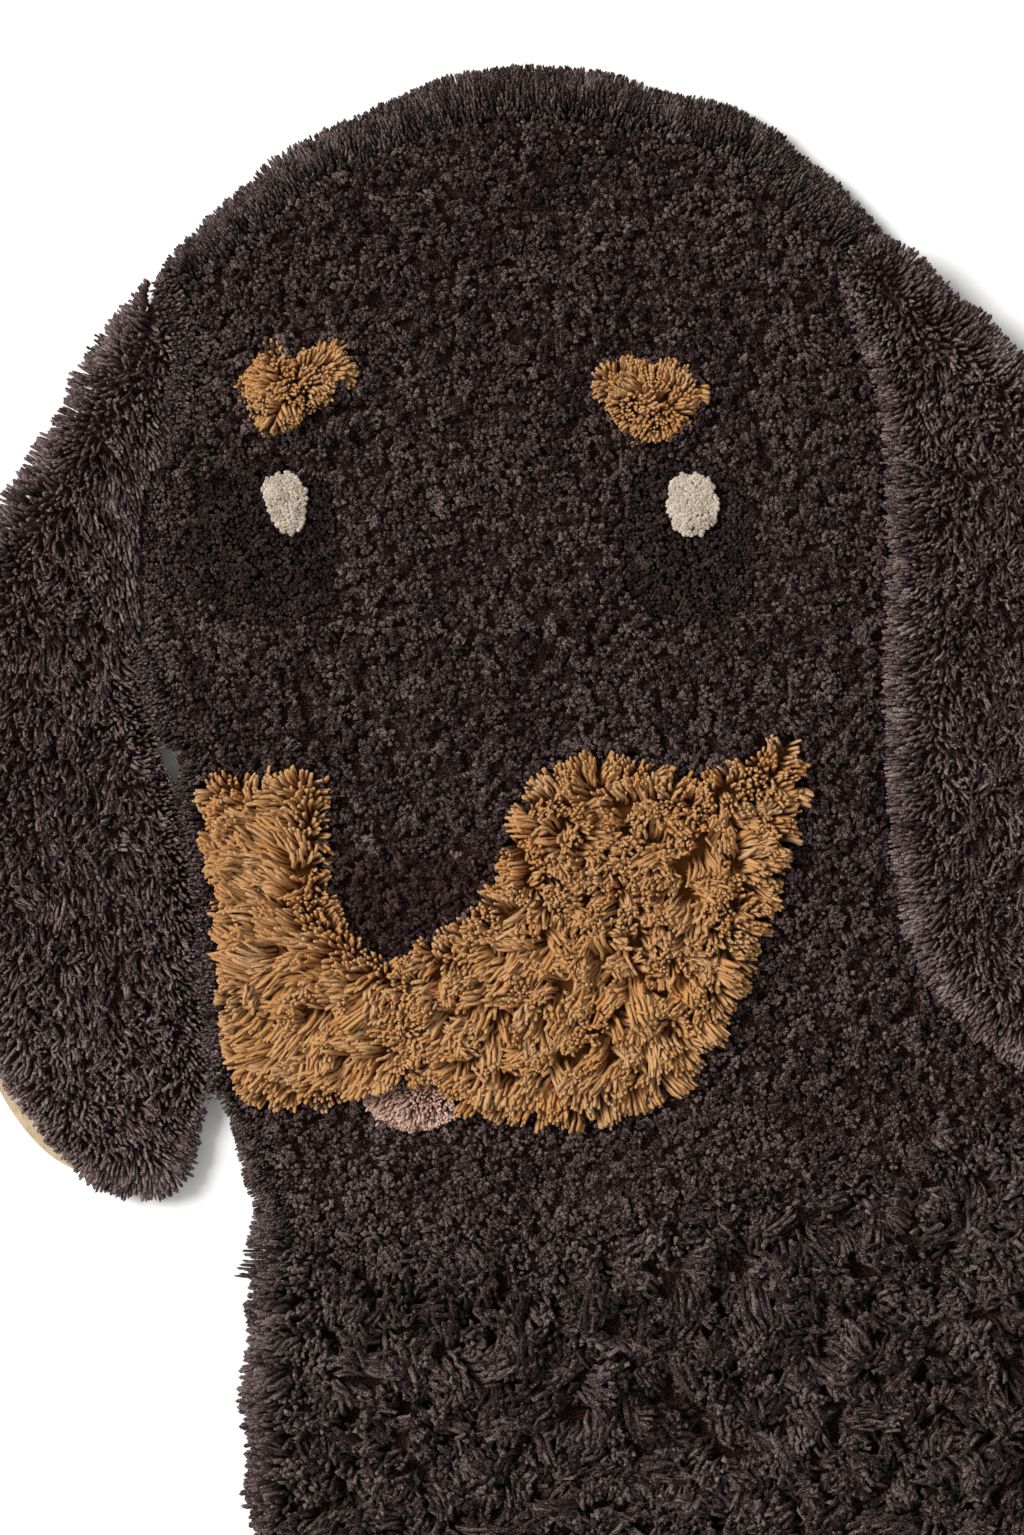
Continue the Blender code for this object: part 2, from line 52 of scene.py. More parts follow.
PLAN_UNIT = 0.0005  # the plan tables count half millimetres
HEAD_PILE = 0.016
BODY_PILE = 0.022
PRESSED_PILE = 0.0145  # height of the pile that the right ear lies on
EAR_PILE = 0.0135
EYE_PILE = 0.0115
GLINT_PILE = 0.0145
BROW_PILE = 0.0210
JOWL_PILE = 0.0250
TONGUE_PILE = 0.0145
CANVAS = 0.0020  # thickness of every canvas
SEAT_GAP = 0.0003
EAR_SEAT = PRESSED_PILE + SEAT_GAP  # height at which the right ear's canvas lies
LEAST_TIP = 0.0012  # the lowest that the tip of a strand may lie
DROOP = 0.0035  # how far the tips of the outermost strands hang down

# --- plan tables, as in part.py but for a few units at some rims ---
PLAN_MIDDLE = (546.41, 1085.73)
FRAME_WIDTH = 1024.0  # what the picture shows, from 0, 0
FRAME_HEIGHT = 1535.0
FRAME_MARGIN = 8.0  # how far outside the picture the pile becomes coarser
# Each row of a rim is x, y and, where it has locks, their length in millimetres.
PANEL_RIM = [
    (540, 66, 11), (600, 68, 11), (655, 86, 10), (705, 101, 9), (765, 122, 9), (814, 163, 9),
    (876, 221, 8), (918, 262, 5), (945, 300), (995, 356), (1068, 436), (1118, 545), (1138, 680),
    (1136, 820), (1132, 960, 4), (1135, 1080, 9), (1139, 1200, 11), (1141, 1350, 11),
    (1135, 1500, 11), (1118, 1680, 11), (1076, 1840, 11), (996, 1980, 11), (860, 2075, 11),
    (690, 2102, 11), (530, 2080, 11), (395, 1990, 11), (310, 1850, 11), (268, 1700, 11),
    (250, 1560, 11), (245, 1450, 11), (247, 1330, 11), (251, 1262, 9), (250, 1214, 8),
    (240, 1164, 5), (226, 1121, 4), (216, 1080), (209, 1000), (200, 900), (192, 840), (183, 785),
    (167, 735), (150, 690), (138, 610), (134, 545), (140, 485), (156, 438), (175, 396),
    (182, 355), (172, 316), (158, 288), (163, 262, 5), (188, 236, 8), (222, 203, 9),
    (268, 164, 9), (318, 132, 9), (375, 106, 10), (435, 81, 11), (490, 67, 11),
]
EAR_LEFT_RIM = [
    (150, 272, 3), (124, 302, 7), (92, 343, 8), (62, 396, 8), (32, 452, 8), (-2, 502, 8),
    (-38, 570, 8), (-62, 665, 8), (-70, 780, 8), (-60, 900, 8), (-36, 1005, 7), (4, 1088, 4),
    (50, 1148, 4), (95, 1189, 7), (140, 1200, 8), (180, 1187, 8), (195, 1153, 8), (204, 1116, 4),
    (212, 1075), (206, 1000), (197, 900), (187, 830), (172, 785), (157, 738), (142, 690),
    (144, 610), (142, 545), (148, 487), (164, 442), (183, 398), (190, 355), (180, 316),
    (168, 288),
]
EAR_LEFT_CANVAS = [
    (120, 330), (76, 410), (44, 468), (4, 530), (-24, 600), (-46, 700), (-52, 800), (-44, 900),
    (-34, 1000), (-6, 1090), (40, 1153), (92, 1180), (140, 1180), (182, 1160), (198, 1110),
    (192, 1000), (180, 880), (154, 770), (130, 680), (122, 560), (138, 450), (160, 380),
    (150, 320),
]
EAR_RIGHT_RIM = [
    (866, 240, 3), (905, 248, 6), (958, 297, 8), (1024, 356, 8), (1095, 436, 8), (1142, 548, 8),
    (1161, 680, 8), (1158, 820, 8), (1140, 940, 8), (1108, 1035, 8), (1062, 1080, 8),
    (1010, 1061, 8), (955, 1018, 8), (914, 955, 8), (894, 870, 8), (886, 780, 8), (885, 670, 8),
    (887, 560, 8), (884, 460, 7), (872, 380, 6), (850, 320, 4), (838, 272, 3),
]
PATCH_RIMS = {
    "jowl_left": [
        (199, 778, 5), (235, 769, 6), (268, 776, 6), (300, 765, 6), (325, 778, 5), (329, 825, 5),
        (329, 880, 5), (346, 926, 5), (376, 952, 4), (402, 972), (408, 1010), (408, 1050),
        (400, 1079), (372, 1086), (334, 1103, 5), (296, 1110, 6), (264, 1108, 6), (241, 1090, 5),
        (229, 1060, 4), (222, 1000, 4), (213, 900, 4), (205, 840, 4), (197, 802, 4),
    ],
    "jowl_right": [
        (402, 966), (450, 927, 5), (492, 884, 5), (510, 838, 5), (522, 798, 5), (546, 772, 5),
        (590, 756, 6), (635, 756, 6), (665, 769, 5), (692, 777, 5), (726, 765, 5), (766, 742, 6),
        (797, 728, 5), (804, 758, 5), (802, 802, 6), (791, 850, 6), (779, 900, 6), (760, 950, 6),
        (738, 1000, 6), (713, 1045, 6), (688, 1080, 6), (645, 1106, 6), (570, 1125, 7),
        (520, 1121, 7), (476, 1106), (440, 1088), (410, 1079), (399, 1045), (398, 1005),
    ],
    "brow_left": [
        (228, 390, 4), (250, 364, 5), (264, 345, 5), (284, 345, 4), (294, 360, 3), (308, 344, 5),
        (334, 342, 5), (352, 356, 5), (353, 378, 5), (333, 399, 4), (314, 412, 4), (296, 424, 4),
        (271, 434, 5), (256, 417, 4), (243, 402, 4),
    ],
    "brow_right": [
        (593, 382, 5), (606, 365, 5), (632, 361, 5), (662, 363, 5), (692, 368, 5), (704, 386, 5),
        (695, 412, 5), (672, 434, 5), (646, 443, 5), (624, 428, 4), (604, 404, 4),
    ],
    "glint_left": [
        (262, 482), (284, 471), (303, 484), (308, 508), (301, 528), (288, 536), (275, 524),
        (265, 503),
    ],
    "glint_right": [
        (671, 481), (690, 473), (711, 479), (718, 500), (714, 523), (700, 536), (682, 533),
        (669, 516),
    ],
    "tongue": [
        (362, 1096), (380, 1086), (404, 1080), (425, 1084), (446, 1094), (462, 1111), (451, 1121),
        (431, 1130), (409, 1132), (387, 1125), (370, 1113),
    ],
}
# The darker yarn of the nose, tufted into the head's own pile.
NOSE_RIM = [
    (334, 834), (380, 846), (430, 850), (480, 842), (508, 846), (496, 880), (462, 916),
    (424, 948), (404, 966), (382, 950), (352, 926), (334, 884),
]
# Middle x, middle y, half width and half height of each eye, a rounded square.
EYE_LEFT = (261, 541, 75, 80)
EYE_RIGHT = (690, 543, 67, 83)
EYE_SQUARENESS = 3.0
EYE_POINTS = 64
NECK_LINE = [
    (200, 1180), (250, 1222), (450, 1220), (620, 1210), (740, 1172), (870, 1140), (1024, 1098),
    (1160, 1070),
]
NECK_RISE = 80.0  # over which the pile grows from head to body height

# Soft troughs in the panel's pile: from x, y to x, y, half width and depth in millimetres.
TROUGHS = [
    (250, 1205, 620, 1192, 11, 3.0), (620, 1192, 900, 1112, 11, 3.0),
    (470, 200, 500, 690, 14, 1.2), (715, 425, 850, 330, 9, 2.5),
    (200, 640, 400, 700, 9, 1.6), (560, 700, 830, 640, 9, 1.6),
    (760, 500, 800, 620, 10, 1.8), (160, 470, 175, 620, 9, 1.8),
    (380, 560, 400, 700, 9, 1.4), (300, 1480, 700, 1440, 16, 3.0),
    (560, 1330, 1000, 1300, 16, 3.0), (420, 1680, 940, 1720, 18, 3.0),
    (500, 1900, 860, 1880, 18, 3.0),
]
# Lumps of the pile: wavelength in millimetres, heading in degrees, phase in degrees.
LUMP_WAVES = [
    (61, 12, 0), (47, 76, 40), (38, 133, 110), (53, 201, 200), (43, 164, 300),
]
HEAD_LUMP = 0.0009
BODY_LUMP = 0.0026
PATCH_LUMP = 0.0012
PATCH_LUMP_SCALE = 1.7
EYE_CARVE = 0.0035  # depth of the ring carved round each eye
EYE_CARVE_WIDTH = 0.22  # and its half width, as a share of the eye's
PRESSED_MARGIN = 6.0  # how far outside its rim the right ear presses the pile down

# --- yarn ---
# A strand's shape: its number of sides, how far its corners differ, and its rings, each a place
# along the strand and a width.
Form = namedtuple("Form", "sides ragged rings")
NUB = Form(4, 0.40, [(0.76, 1.0)])
DOT = Form(5, 0.20, [(0.84, 1.0)])
HAIR = Form(3, 0.15, [(0.34, 0.90), (0.66, 1.0), (0.94, 0.90)])
PLY = Form(3, 0.10, [(0.26, 0.90), (0.52, 1.0), (0.77, 1.0), (0.97, 0.80)])

# How the yarn stands in a pile.
Style = namedtuple("Style", [
    "pitch",  # from one strand to the next
    "radius",  # of a strand
    "lock",  # from the middle of one lock of strands to the next
    "gather",  # how far the tips of a lock are drawn together
    "wander",  # how far whole locks lean at random
    "fray",  # how far single strands lean at random
    "uneven",  # how far lengths differ
    "curl",  # how far a lock's middle bends aside, as a share of its length
    "hook",  # how far the ends of a lock turn over
    "crimp",  # how far a strand winds about its own line, as a share of its radius
])
HEAD = Style(3.9, 2.65, 12.0, 0.34, 0.24, 0.12, 0.12, 0.02, 0.0, 0.0)
CROWN = Style(3.6, 1.75, 11.0, 0.24, 0.16, 0.12, 0.10, 0.11, 0.3, 0.9)
EYE = Style(3.9, 2.7, 9.0, 0.20, 0.18, 0.12, 0.06, 0.02, 0.0, 0.0)
BODY = Style(5.2, 3.0, 20.0, 0.14, 0.48, 0.12, 0.11, 0.11, 1.7, 1.1)
EAR = Style(5.0, 2.0, 11.0, 0.28, 0.28, 0.16, 0.11, 0.09, 0.8, 1.2)
JOWL = Style(4.2, 2.5, 16.0, 0.14, 0.26, 0.06, 0.08, 0.12, 1.1, 0.7)
BROW = Style(3.0, 2.2, 15.0, 0.16, 0.26, 0.06, 0.05, 0.12, 1.2, 0.7)
GLINT = Style(3.1, 3.0, 9.0, 0.06, 0.10, 0.06, 0.02, 0.03, 0.3, 0.0)
TONGUE = Style(2.6, 1.9, 9.0, 0.10, 0.14, 0.08, 0.05, 0.06, 0.3, 0.6)

# A strand bends in three parts: the length of each and how far it tilts.
PARTS = ((0.40, 0.25), (0.35, 0.90), (0.35, 1.35))
MOST_TILT = 1.4
LIFTED = 1.0  # tilt up to which a strand still reaches the height of its pile
BENT = 0.32  # tilt from which a strand of the head shows its side

INSET = 1.2  # how far the roots stay inside a rim, as a share of its locks
LEAST_INSET = 2.0  # and inside a rim without locks
FRINGE = 26.0  # over which the lean at a rim dies away
SHARPNESS = 1.6  # and the power by which it does
LOW_FRINGE = 6.0  # over which flat strands give way to arched ones
CLOSED = 12.0  # depth of the band inside a rim where strands stand closer
CLOSER = 2.6  # and how many more stand there
SEAM_LOCK = 3.0  # millimetres; a rim with shorter locks is partly a seam
FULL_LOCK = 8.0  # millimetres; locks of this length pass the rim in full
PASSED = 4.0  # how far the outermost locks pass a rim
ROOM = 8.0  # and the furthest that any strand may
OVERHANG = 12.0  # how far strands lean out over a seam
# Places without that, beside the left ear and at the tongue: x, y and reach.
OPEN = [(171.0, 764.0, 22.0), (412.0, 1096.0, 44.0)]
COARSE_SHARE = 0.33  # share of the strands kept outside the picture
COARSE_WIDTH = 1.65  # and how much wider they are
# How far roots stand off their grid, in the large piles, in a patch and for locks.
JITTER, PATCH_JITTER, LOCK_JITTER = 0.25, 0.28, 0.35
SEED = 11

# How the strands of a pile differ.
CALMED = 0.35  # power by which locks lean less at random towards a rim
STRAY, STRAY_LESS = 0.5, 0.35  # further fray of single strands, and less at a rim
EVENED = 0.7  # how much less lengths differ at a rim
LENGTHS = 0.6  # weight of single strands, and of whole locks, in the lengths
LAID = 0.6  # how much further the flattest strands tilt at the root
FLAT, LEAST_BEND = 0.01, 0.1  # from how flat that shortens one, and its least tilt there
RIM_CURL = 0.3  # share of the curl that is left at a rim
CURL_WAYS = (1.0, 1.0, 0.2)  # sideways and up
ALONE = 0.3  # curl of a single strand, as a share of a lock's
DROOP_BELOW = 0.4  # droop at a strand's last bend, as a share of its tip's
THICKNESS = (0.78, 1.18)  # least and most radius
UNCRIMPED = 0.8  # how much less a strand winds at a rim
WINDS = 1.3  # turns from root to tip
LOCK_TINT = 0.15  # how far the tints of locks differ

# Slow random changes: how strong, the width and height of their cells, and a seed.
DYE_CHANGE = (0.07, (90, 70), 5)
HEAD_DRIFT = (0.10, (40, 40), 21)
BODY_TUFTS = (0.0016, (24, 20), 31)
EAR_DRIFT = (0.3, (46, 60))
PATCH_DRIFT = (0.5, (46, 40))  # its strength is a share of the patch's tilt

# Tints, from deep at 0 to pale at 1, and how far single strands differ.
TINT, PATCH_TINT = 0.42, 0.45
HEAD_SPREAD, SHAG_SPREAD, PATCH_SPREAD = 0.13, 0.16, 0.14
# The first is painted light: strands at a rim are paler, as where their lit sides show.
RIM_PAINTED_LIGHT, BODY_PALER, EAR_PALER = 0.14, 0.04, 0.03  # how much paler at a rim and in a pile
# How much paler they grow downwards, and the plan's y from which and over which.
LOWER_HEAD, LOWER_EAR = (0.08, 1080.0, 80.0), (0.20, 860.0, 200.0)
# How brown the browner strands are, and their share.
HEAD_BROWN, BODY_BROWN, EAR_BROWN = (0.25, 0.3), (0.3, 0.3), (0.4, 0.4)
NOSE_BROWN, NOSE_FADE = 0.75, 10.0  # and how brown the nose becomes, and over which depth

# Creases of the head's pile: the width and height of their cells, and their half width.
CREASES = [(100, 28, 0.085), (34, 110, 0.065)]
CREASE_DEPTH = 0.0050
CREASED, CREASED_CELL = (0.55, 1.1), (110, 70)  # how much of the pile has them, and its swing
CREASE_SEED, CREASED_SEED = 200, 210

# The groove beside the left ear: the plan's y from and to, over how much y it deepens and ends,
# how far the ear's pile stands back, and how far the head's pile is lowered, over a width.
Groove = namedtuple("Groove", "first last deepens ends back sunk width")
GROOVE = Groove(400.0, 668.0, 60.0, 50.0, 8.0, 0.006, 9.0)
# The ear's pile hangs down along it, over a width, from an x of the plan.
Hang = namedtuple("Hang", "lean most width first")
HANG = Hang((0.20, 0.75), 0.95, 36.0, 60.0)
EAR_COMB = {"ear_left": (0.12, 0.42), "ear_right": (-0.10, 0.42)}

# How far strands go on under the rim of a patch.
UNDER_PATCH = {"jowl": 7.0, "brow": 3.0, "eye": 0.5, "tongue": 0.5}
UNDER_GLINT = 0.5
# Beyond these depths in the right ear's rim and its own the panel has no strands: none show.
HIDDEN_BY_EAR, HIDDEN_IN_PANEL = 14.0, 24.0
# Where the piles of the head and body are cut into pieces, in the plan's y.
HEAD_CUT = 560.0
BODY_CUTS = (-math.inf, 1330.0, 1543.0, math.inf)

# How a patch stands at its rim: the inset and fringe, as above, and how far it leans over it.
Edge = namedtuple("Edge", "inset fringe overhang")
PLAIN_EDGE = Edge(INSET, FRINGE, 0.0)
BROW_EDGE = Edge(0.9, 12.0, 0.0)
JOWL_EDGE = Edge(INSET, 16.0, 10.0)
TONGUE_EDGE = Edge(INSET, 10.0, 0.0)
# How a patch leans away from a place in the plan, up to a tilt at a distance.
Fan = namedtuple("Fan", "middle distance tilt")
UPRIGHT = Fan((0.0, 0.0), 1.0, 0.0)
FANS = {
    "brow_left": Fan((298, 385), 40.0, 0.55),
    "brow_right": Fan((650, 395), 40.0, 0.55),
    "jowl_left": Fan((500, 945), 170.0, 0.72),
    "jowl_right": Fan((640, 820), 230.0, 0.36),
    "tongue": Fan((414, 1080), 40.0, 0.7),
}
# How far the leans and lengths at a rim are kept from differing.
ORDER, PATCH_ORDER = 0.95, 0.65

# The mass of yarn under the strands: its height as a share of the node's, how much lower it is
# under the shag, how far it stays inside the roots, and how dark its painted shade is, as a place
# along a strand.
Mass = namedtuple("Mass", "share sunk clear along")
PANEL_MASS = Mass(0.40, 0.17, 5.0, 0.28)
EAR_MASS = Mass(0.38, 0.0, 5.0, 0.28)
PATCH_MASS = Mass(0.28, 0.0, 1.0, 0.13)
MASS_TINT = 0.36
SHEET_INSET = 1.0  # how far a canvas stays inside a rim without locks
SHEET_HIDDEN = 14.0  # and further for the right ear's, so that its locks hide it

RIM_STEP, CURVE_STEPS = 7.0, 24  # between points of a rim, and from row to row of its table
LATTICE = 128  # cells of a random field before it repeats
TILT_STEPS = 40
CELL_MARGIN = 0.1  # round each strand's square of the bake map
TINY = 1e-12


# --- plan ---
def millimetres(length):
    """Millimetres to plan units."""
    return length * MILLIMETRE / PLAN_UNIT


def smooth_step(value):
    value = np.clip(value, 0.0, 1.0)
    return value * value * (3.0 - 2.0 * value)


def smooth_closed(rows):
    """Closed Catmull-Rom curve through the rows, in even steps."""
    knots = np.array([(*row, 0)[:3] for row in rows], dtype=float)
    t = np.linspace(0.0, 1.0, CURVE_STEPS, endpoint=False)[None, :, None]
    a, b, c, d = (np.roll(knots, shift, axis=0)[:, None, :] for shift in (1, 0, -1, -2))
    fine = 0.5 * (2 * b + (c - a) * t + (2 * a - 5 * b + 4 * c - d) * t ** 2
                  + (3 * b - a - 3 * c + d) * t ** 3)
    fine = fine.reshape(-1, 3)
    closed = np.vstack([fine, fine[:1]])
    along = np.concatenate([[0.0], np.cumsum(np.hypot(*np.diff(closed[:, :2], axis=0).T))])
    at = np.linspace(0.0, along[-1], int(round(along[-1] / RIM_STEP)), endpoint=False)
    return np.column_stack([np.interp(at, along, closed[:, k]) for k in range(3)])


def eye_rim(middle_x, middle_y, half_width, half_height):
    """Rounded square without locks."""
    turn = np.linspace(0.0, 2.0 * math.pi, EYE_POINTS, endpoint=False)
    reach = (np.abs(np.cos(turn)) ** EYE_SQUARENESS
             + np.abs(np.sin(turn)) ** EYE_SQUARENESS) ** (-1.0 / EYE_SQUARENESS)
    return np.column_stack([middle_x + half_width * reach * np.cos(turn),
                            middle_y + half_height * reach * np.sin(turn),
                            np.zeros(EYE_POINTS)])


def nearest_on(points, outline):
    """Distance from each point to a closed outline, the nearest place on it, and its lock."""
    best = np.full(len(points), np.inf)
    place = np.zeros((len(points), 3))
    for start, run in zip(outline, np.roll(outline, -1, axis=0) - outline):
        share = ((points - start[:2]) @ run[:2]) / max(run[:2] @ run[:2], TINY)
        spot = start + np.clip(share, 0.0, 1.0)[:, None] * run
        gap = np.hypot(*(points - spot[:, :2]).T)
        closer = gap < best
        best[closer] = gap[closer]
        place[closer] = spot[closer]
    return best, place[:, :2], place[:, 2]


def inside(points, outline):
    """Whether each point lies inside a closed outline."""
    x, y = points[:, 0], points[:, 1]
    result = np.zeros(len(points), dtype=bool)
    for (x0, y0), (x1, y1) in zip(outline[:, :2], np.roll(outline[:, :2], -1, axis=0)):
        if y0 != y1:
            crosses = (y0 > y) != (y1 > y)
            result ^= crosses & (x < (x1 - x0) * (y - y0) / (y1 - y0) + x0)
    return result


def depth_in(points, outline):
    """Distance inside an outline, negative outside it."""
    gap, _, _ = nearest_on(points, outline)
    return np.where(inside(points, outline), gap, -gap)


def uneven(points, cell, seed):
    """Smooth random field from -1 to 1, with cells of the width and height given."""
    lattice = np.random.default_rng(seed).uniform(-1.0, 1.0, (LATTICE, LATTICE))
    at = points / np.array(cell, dtype=float)
    low = np.floor(at).astype(int)
    share = smooth_step(at - low)
    x0, y0 = (low % LATTICE).T
    x1, y1 = ((low + 1) % LATTICE).T
    upper = lattice[y0, x0] * (1 - share[:, 0]) + lattice[y0, x1] * share[:, 0]
    lower = lattice[y1, x0] * (1 - share[:, 0]) + lattice[y1, x1] * share[:, 0]
    return upper * (1 - share[:, 1]) + lower * share[:, 1]


def drift(points, strength, cell, seed):
    """Lean that changes slowly from place to place."""
    return strength * np.column_stack([uneven(points, cell, seed),
                                       uneven(points, cell, seed + 1)])


def beyond(points):
    """Whether each point is outside the picture, where the pile is coarser."""
    x, y = points.T
    return ((x < -FRAME_MARGIN) | (x > FRAME_WIDTH + FRAME_MARGIN)
            | (y > FRAME_HEIGHT + FRAME_MARGIN))


def rim_points(rim, pitch, chance):
    """Further roots in the band just inside a rim that has locks."""
    run = np.roll(rim, -1, axis=0) - rim
    length = np.hypot(*run[:, :2].T)
    count = int(CLOSER * length.sum() * CLOSED / pitch ** 2)
    first = chance.choice(len(rim), count, p=length / length.sum())
    spot = rim[first] + chance.random(count)[:, None] * run[first]
    normal = np.column_stack([-run[first, 1], run[first, 0]]) / length[first, None]
    depth = INSET * millimetres(spot[:, 2]) + CLOSED * chance.random(count)
    points = spot[:, :2] + normal * depth[:, None]
    if inside(points, rim).mean() < 0.5:
        points = spot[:, :2] - normal * depth[:, None]
    kept = (spot[:, 2] > SEAM_LOCK) & (~beyond(points) | (chance.random(count) < COARSE_SHARE))
    return points[kept]


def scattered(outline, pitch, jitter, chance, thin=True):
    """Staggered grid of points inside an outline, each moved a little at random."""
    low, high = outline[:, :2].min(axis=0), outline[:, :2].max(axis=0)
    x, y = np.meshgrid(np.arange(low[0], high[0] + pitch, pitch),
                       np.arange(low[1], high[1] + pitch, pitch * math.sqrt(0.75)))
    x[1::2] += 0.5 * pitch
    points = np.column_stack([x.ravel(), y.ravel()])
    points += chance.uniform(-jitter, jitter, points.shape) * pitch
    kept = inside(points, outline)
    if thin:
        kept &= ~beyond(points) | (chance.random(len(points)) < COARSE_SHARE)
    return points[kept]


def roots_in(rim, pitch, chance):
    """Roots of a large pile, closer together along its rim."""
    return np.vstack([scattered(rim, pitch, JITTER, chance), rim_points(rim, pitch, chance)])


PANEL = smooth_closed(PANEL_RIM)
EAR_LEFT = smooth_closed(EAR_LEFT_RIM)
EAR_RIGHT = smooth_closed(EAR_RIGHT_RIM)
NOSE = smooth_closed(NOSE_RIM)
PATCHES = {name: smooth_closed(rows) for name, rows in PATCH_RIMS.items()}
PATCHES.update(eye_left=eye_rim(*EYE_LEFT), eye_right=eye_rim(*EYE_RIGHT))


# --- height of the pile ---
def lumps(points):
    """Uneven pile, from -1 to 1."""
    total = np.zeros(len(points))
    for wavelength, heading, phase in LUMP_WAVES:
        turn = math.radians(heading)
        along = points[:, 0] * math.cos(turn) + points[:, 1] * math.sin(turn)
        total += np.sin(2.0 * math.pi * along / millimetres(wavelength) + math.radians(phase))
    return total / math.sqrt(2.0 * len(LUMP_WAVES))


def trough_depth(points):
    """How deep in a soft trough each point is, in metres."""
    total = np.zeros(len(points))
    for x0, y0, x1, y1, half_width, depth in TROUGHS:
        start = np.array((x0, y0), dtype=float)
        run = np.array((x1, y1), dtype=float) - start
        share = np.clip(((points - start) @ run) / (run @ run), 0.0, 1.0)
        gap = np.hypot(*(points - start - share[:, None] * run).T)
        total += MILLIMETRE * depth * np.exp(-(gap / millimetres(half_width)) ** 2)
    return total


def body_share(points):
    """0 on the sheared head and 1 on the shag of the body."""
    neck_x, neck_y = np.array(NECK_LINE, dtype=float).T
    return smooth_step((points[:, 1] - np.interp(points[:, 0], neck_x, neck_y)) / NECK_RISE)


def panel_height(points):
    """Height of the panel's own pile over the floor."""
    body = body_share(points)
    height = HEAD_PILE + (BODY_PILE - HEAD_PILE) * body
    height = height + (HEAD_LUMP + (BODY_LUMP - HEAD_LUMP) * body) * lumps(points)
    height = height - trough_depth(points)
    for eye in (EYE_LEFT, EYE_RIGHT):
        away = np.hypot((points[:, 0] - eye[0]) / eye[2], (points[:, 1] - eye[1]) / eye[3])
        height = height - EYE_CARVE * np.exp(-((away - 1.0) / EYE_CARVE_WIDTH) ** 2)
    under_ear = depth_in(points, EAR_RIGHT) > -PRESSED_MARGIN
    return np.where(under_ear, np.minimum(height, PRESSED_PILE), height)


# --- pieces ---
def place_piece(name, mesh, nodes):
    """Puts a soft piece in the scene, in place of the nodes that it stands for."""
    piece = bpy.data.objects.new(name, mesh)
    bpy.context.scene.collection.objects.link(piece)
    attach(piece, "root")
    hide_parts(*nodes)
    return piece


def set_values(mesh, key, values):
    """A value at each point of a mesh, for the yarn's material to read."""
    layer = mesh.attributes.new(key, "FLOAT", "POINT")
    layer.data.foreach_set("value", values.astype(np.float32))


# --- strands ---
def to_world(points, height):
    """Points of the plan, at one height or at a height each, in the rug's frame."""
    return np.column_stack([(points[:, 0] - PLAN_MIDDLE[0]) * PLAN_UNIT,
                            (PLAN_MIDDLE[1] - points[:, 1]) * PLAN_UNIT,
                            np.broadcast_to(height, len(points))])


def unit(vectors):
    return vectors / np.maximum(np.linalg.norm(vectors, axis=-1, keepdims=True), TINY)


def sweep(path, radius, form, crimp, chance):
    """Points of strands along bent lines, the tip last, and how far along each point is.  The
    path holds four arrays of points, from the roots to the tips."""
    count, sides = len(radius), form.sides
    at = np.array([place for place, _ in form.rings])[None, :, None]
    width = np.array([share for _, share in form.rings])
    a, b, c, d = (points[:, None] for points in path)
    line = ((1 - at) ** 3 * a + 3 * at * (1 - at) ** 2 * b + 3 * at ** 2 * (1 - at) * c
            + at ** 3 * d)
    run = unit((1 - at) ** 2 * (b - a) + 2 * at * (1 - at) * (c - b) + at ** 2 * (d - c))
    turn = chance.uniform(0.0, 2.0 * math.pi, count)
    level = np.column_stack([np.cos(turn), np.sin(turn), np.zeros(count)])[:, None]
    over = unit(np.cross(run, level))
    side = np.cross(over, run)
    wind = 2.0 * math.pi * WINDS * at + turn[:, None, None]
    line = line + (crimp * radius)[:, None, None] * at * (np.cos(wind) * side
                                                        + np.sin(wind) * over)
    angle = 2.0 * math.pi * np.arange(sides) / sides
    corner = chance.uniform(1.0 - form.ragged, 1.0 + form.ragged, (count, 1, sides))
    reach = radius[:, None, None] * width[None, :, None] * corner
    ring = line[:, :, None] + reach[..., None] * (
        np.cos(angle)[:, None] * side[:, :, None] + np.sin(angle)[:, None] * over[:, :, None])
    points = np.concatenate([ring.reshape(count, -1, 3), path[3][:, None]], axis=1)
    along = np.append(np.repeat(at.ravel(), sides), 1.0)
    return points, np.tile(along, count)


def strand_faces(form):
    """One strand's faces, as point numbers, with the place of each corner on its map."""
    faces, places = [], []
    sides = form.sides
    levels = [place for place, _ in form.rings] + [1.0]
    for ring in range(len(form.rings) - 1):
        for side in range(sides):
            low, after = ring * sides + side, ring * sides + (side + 1) % sides
            left, right = side / sides, (side + 1) / sides
            faces.append((low, after, after + sides, low + sides))
            places.append([(left, levels[ring]), (right, levels[ring]),
                           (right, levels[ring + 1]), (left, levels[ring + 1])])
    first = (len(form.rings) - 1) * sides
    for side in range(sides):
        faces.append((first + side, first + (side + 1) % sides, first + sides))
        places.append([(side / sides, levels[-2]), ((side + 1) / sides, levels[-2]),
                       ((side + 0.5) / sides, 1.0)])
    return faces, places


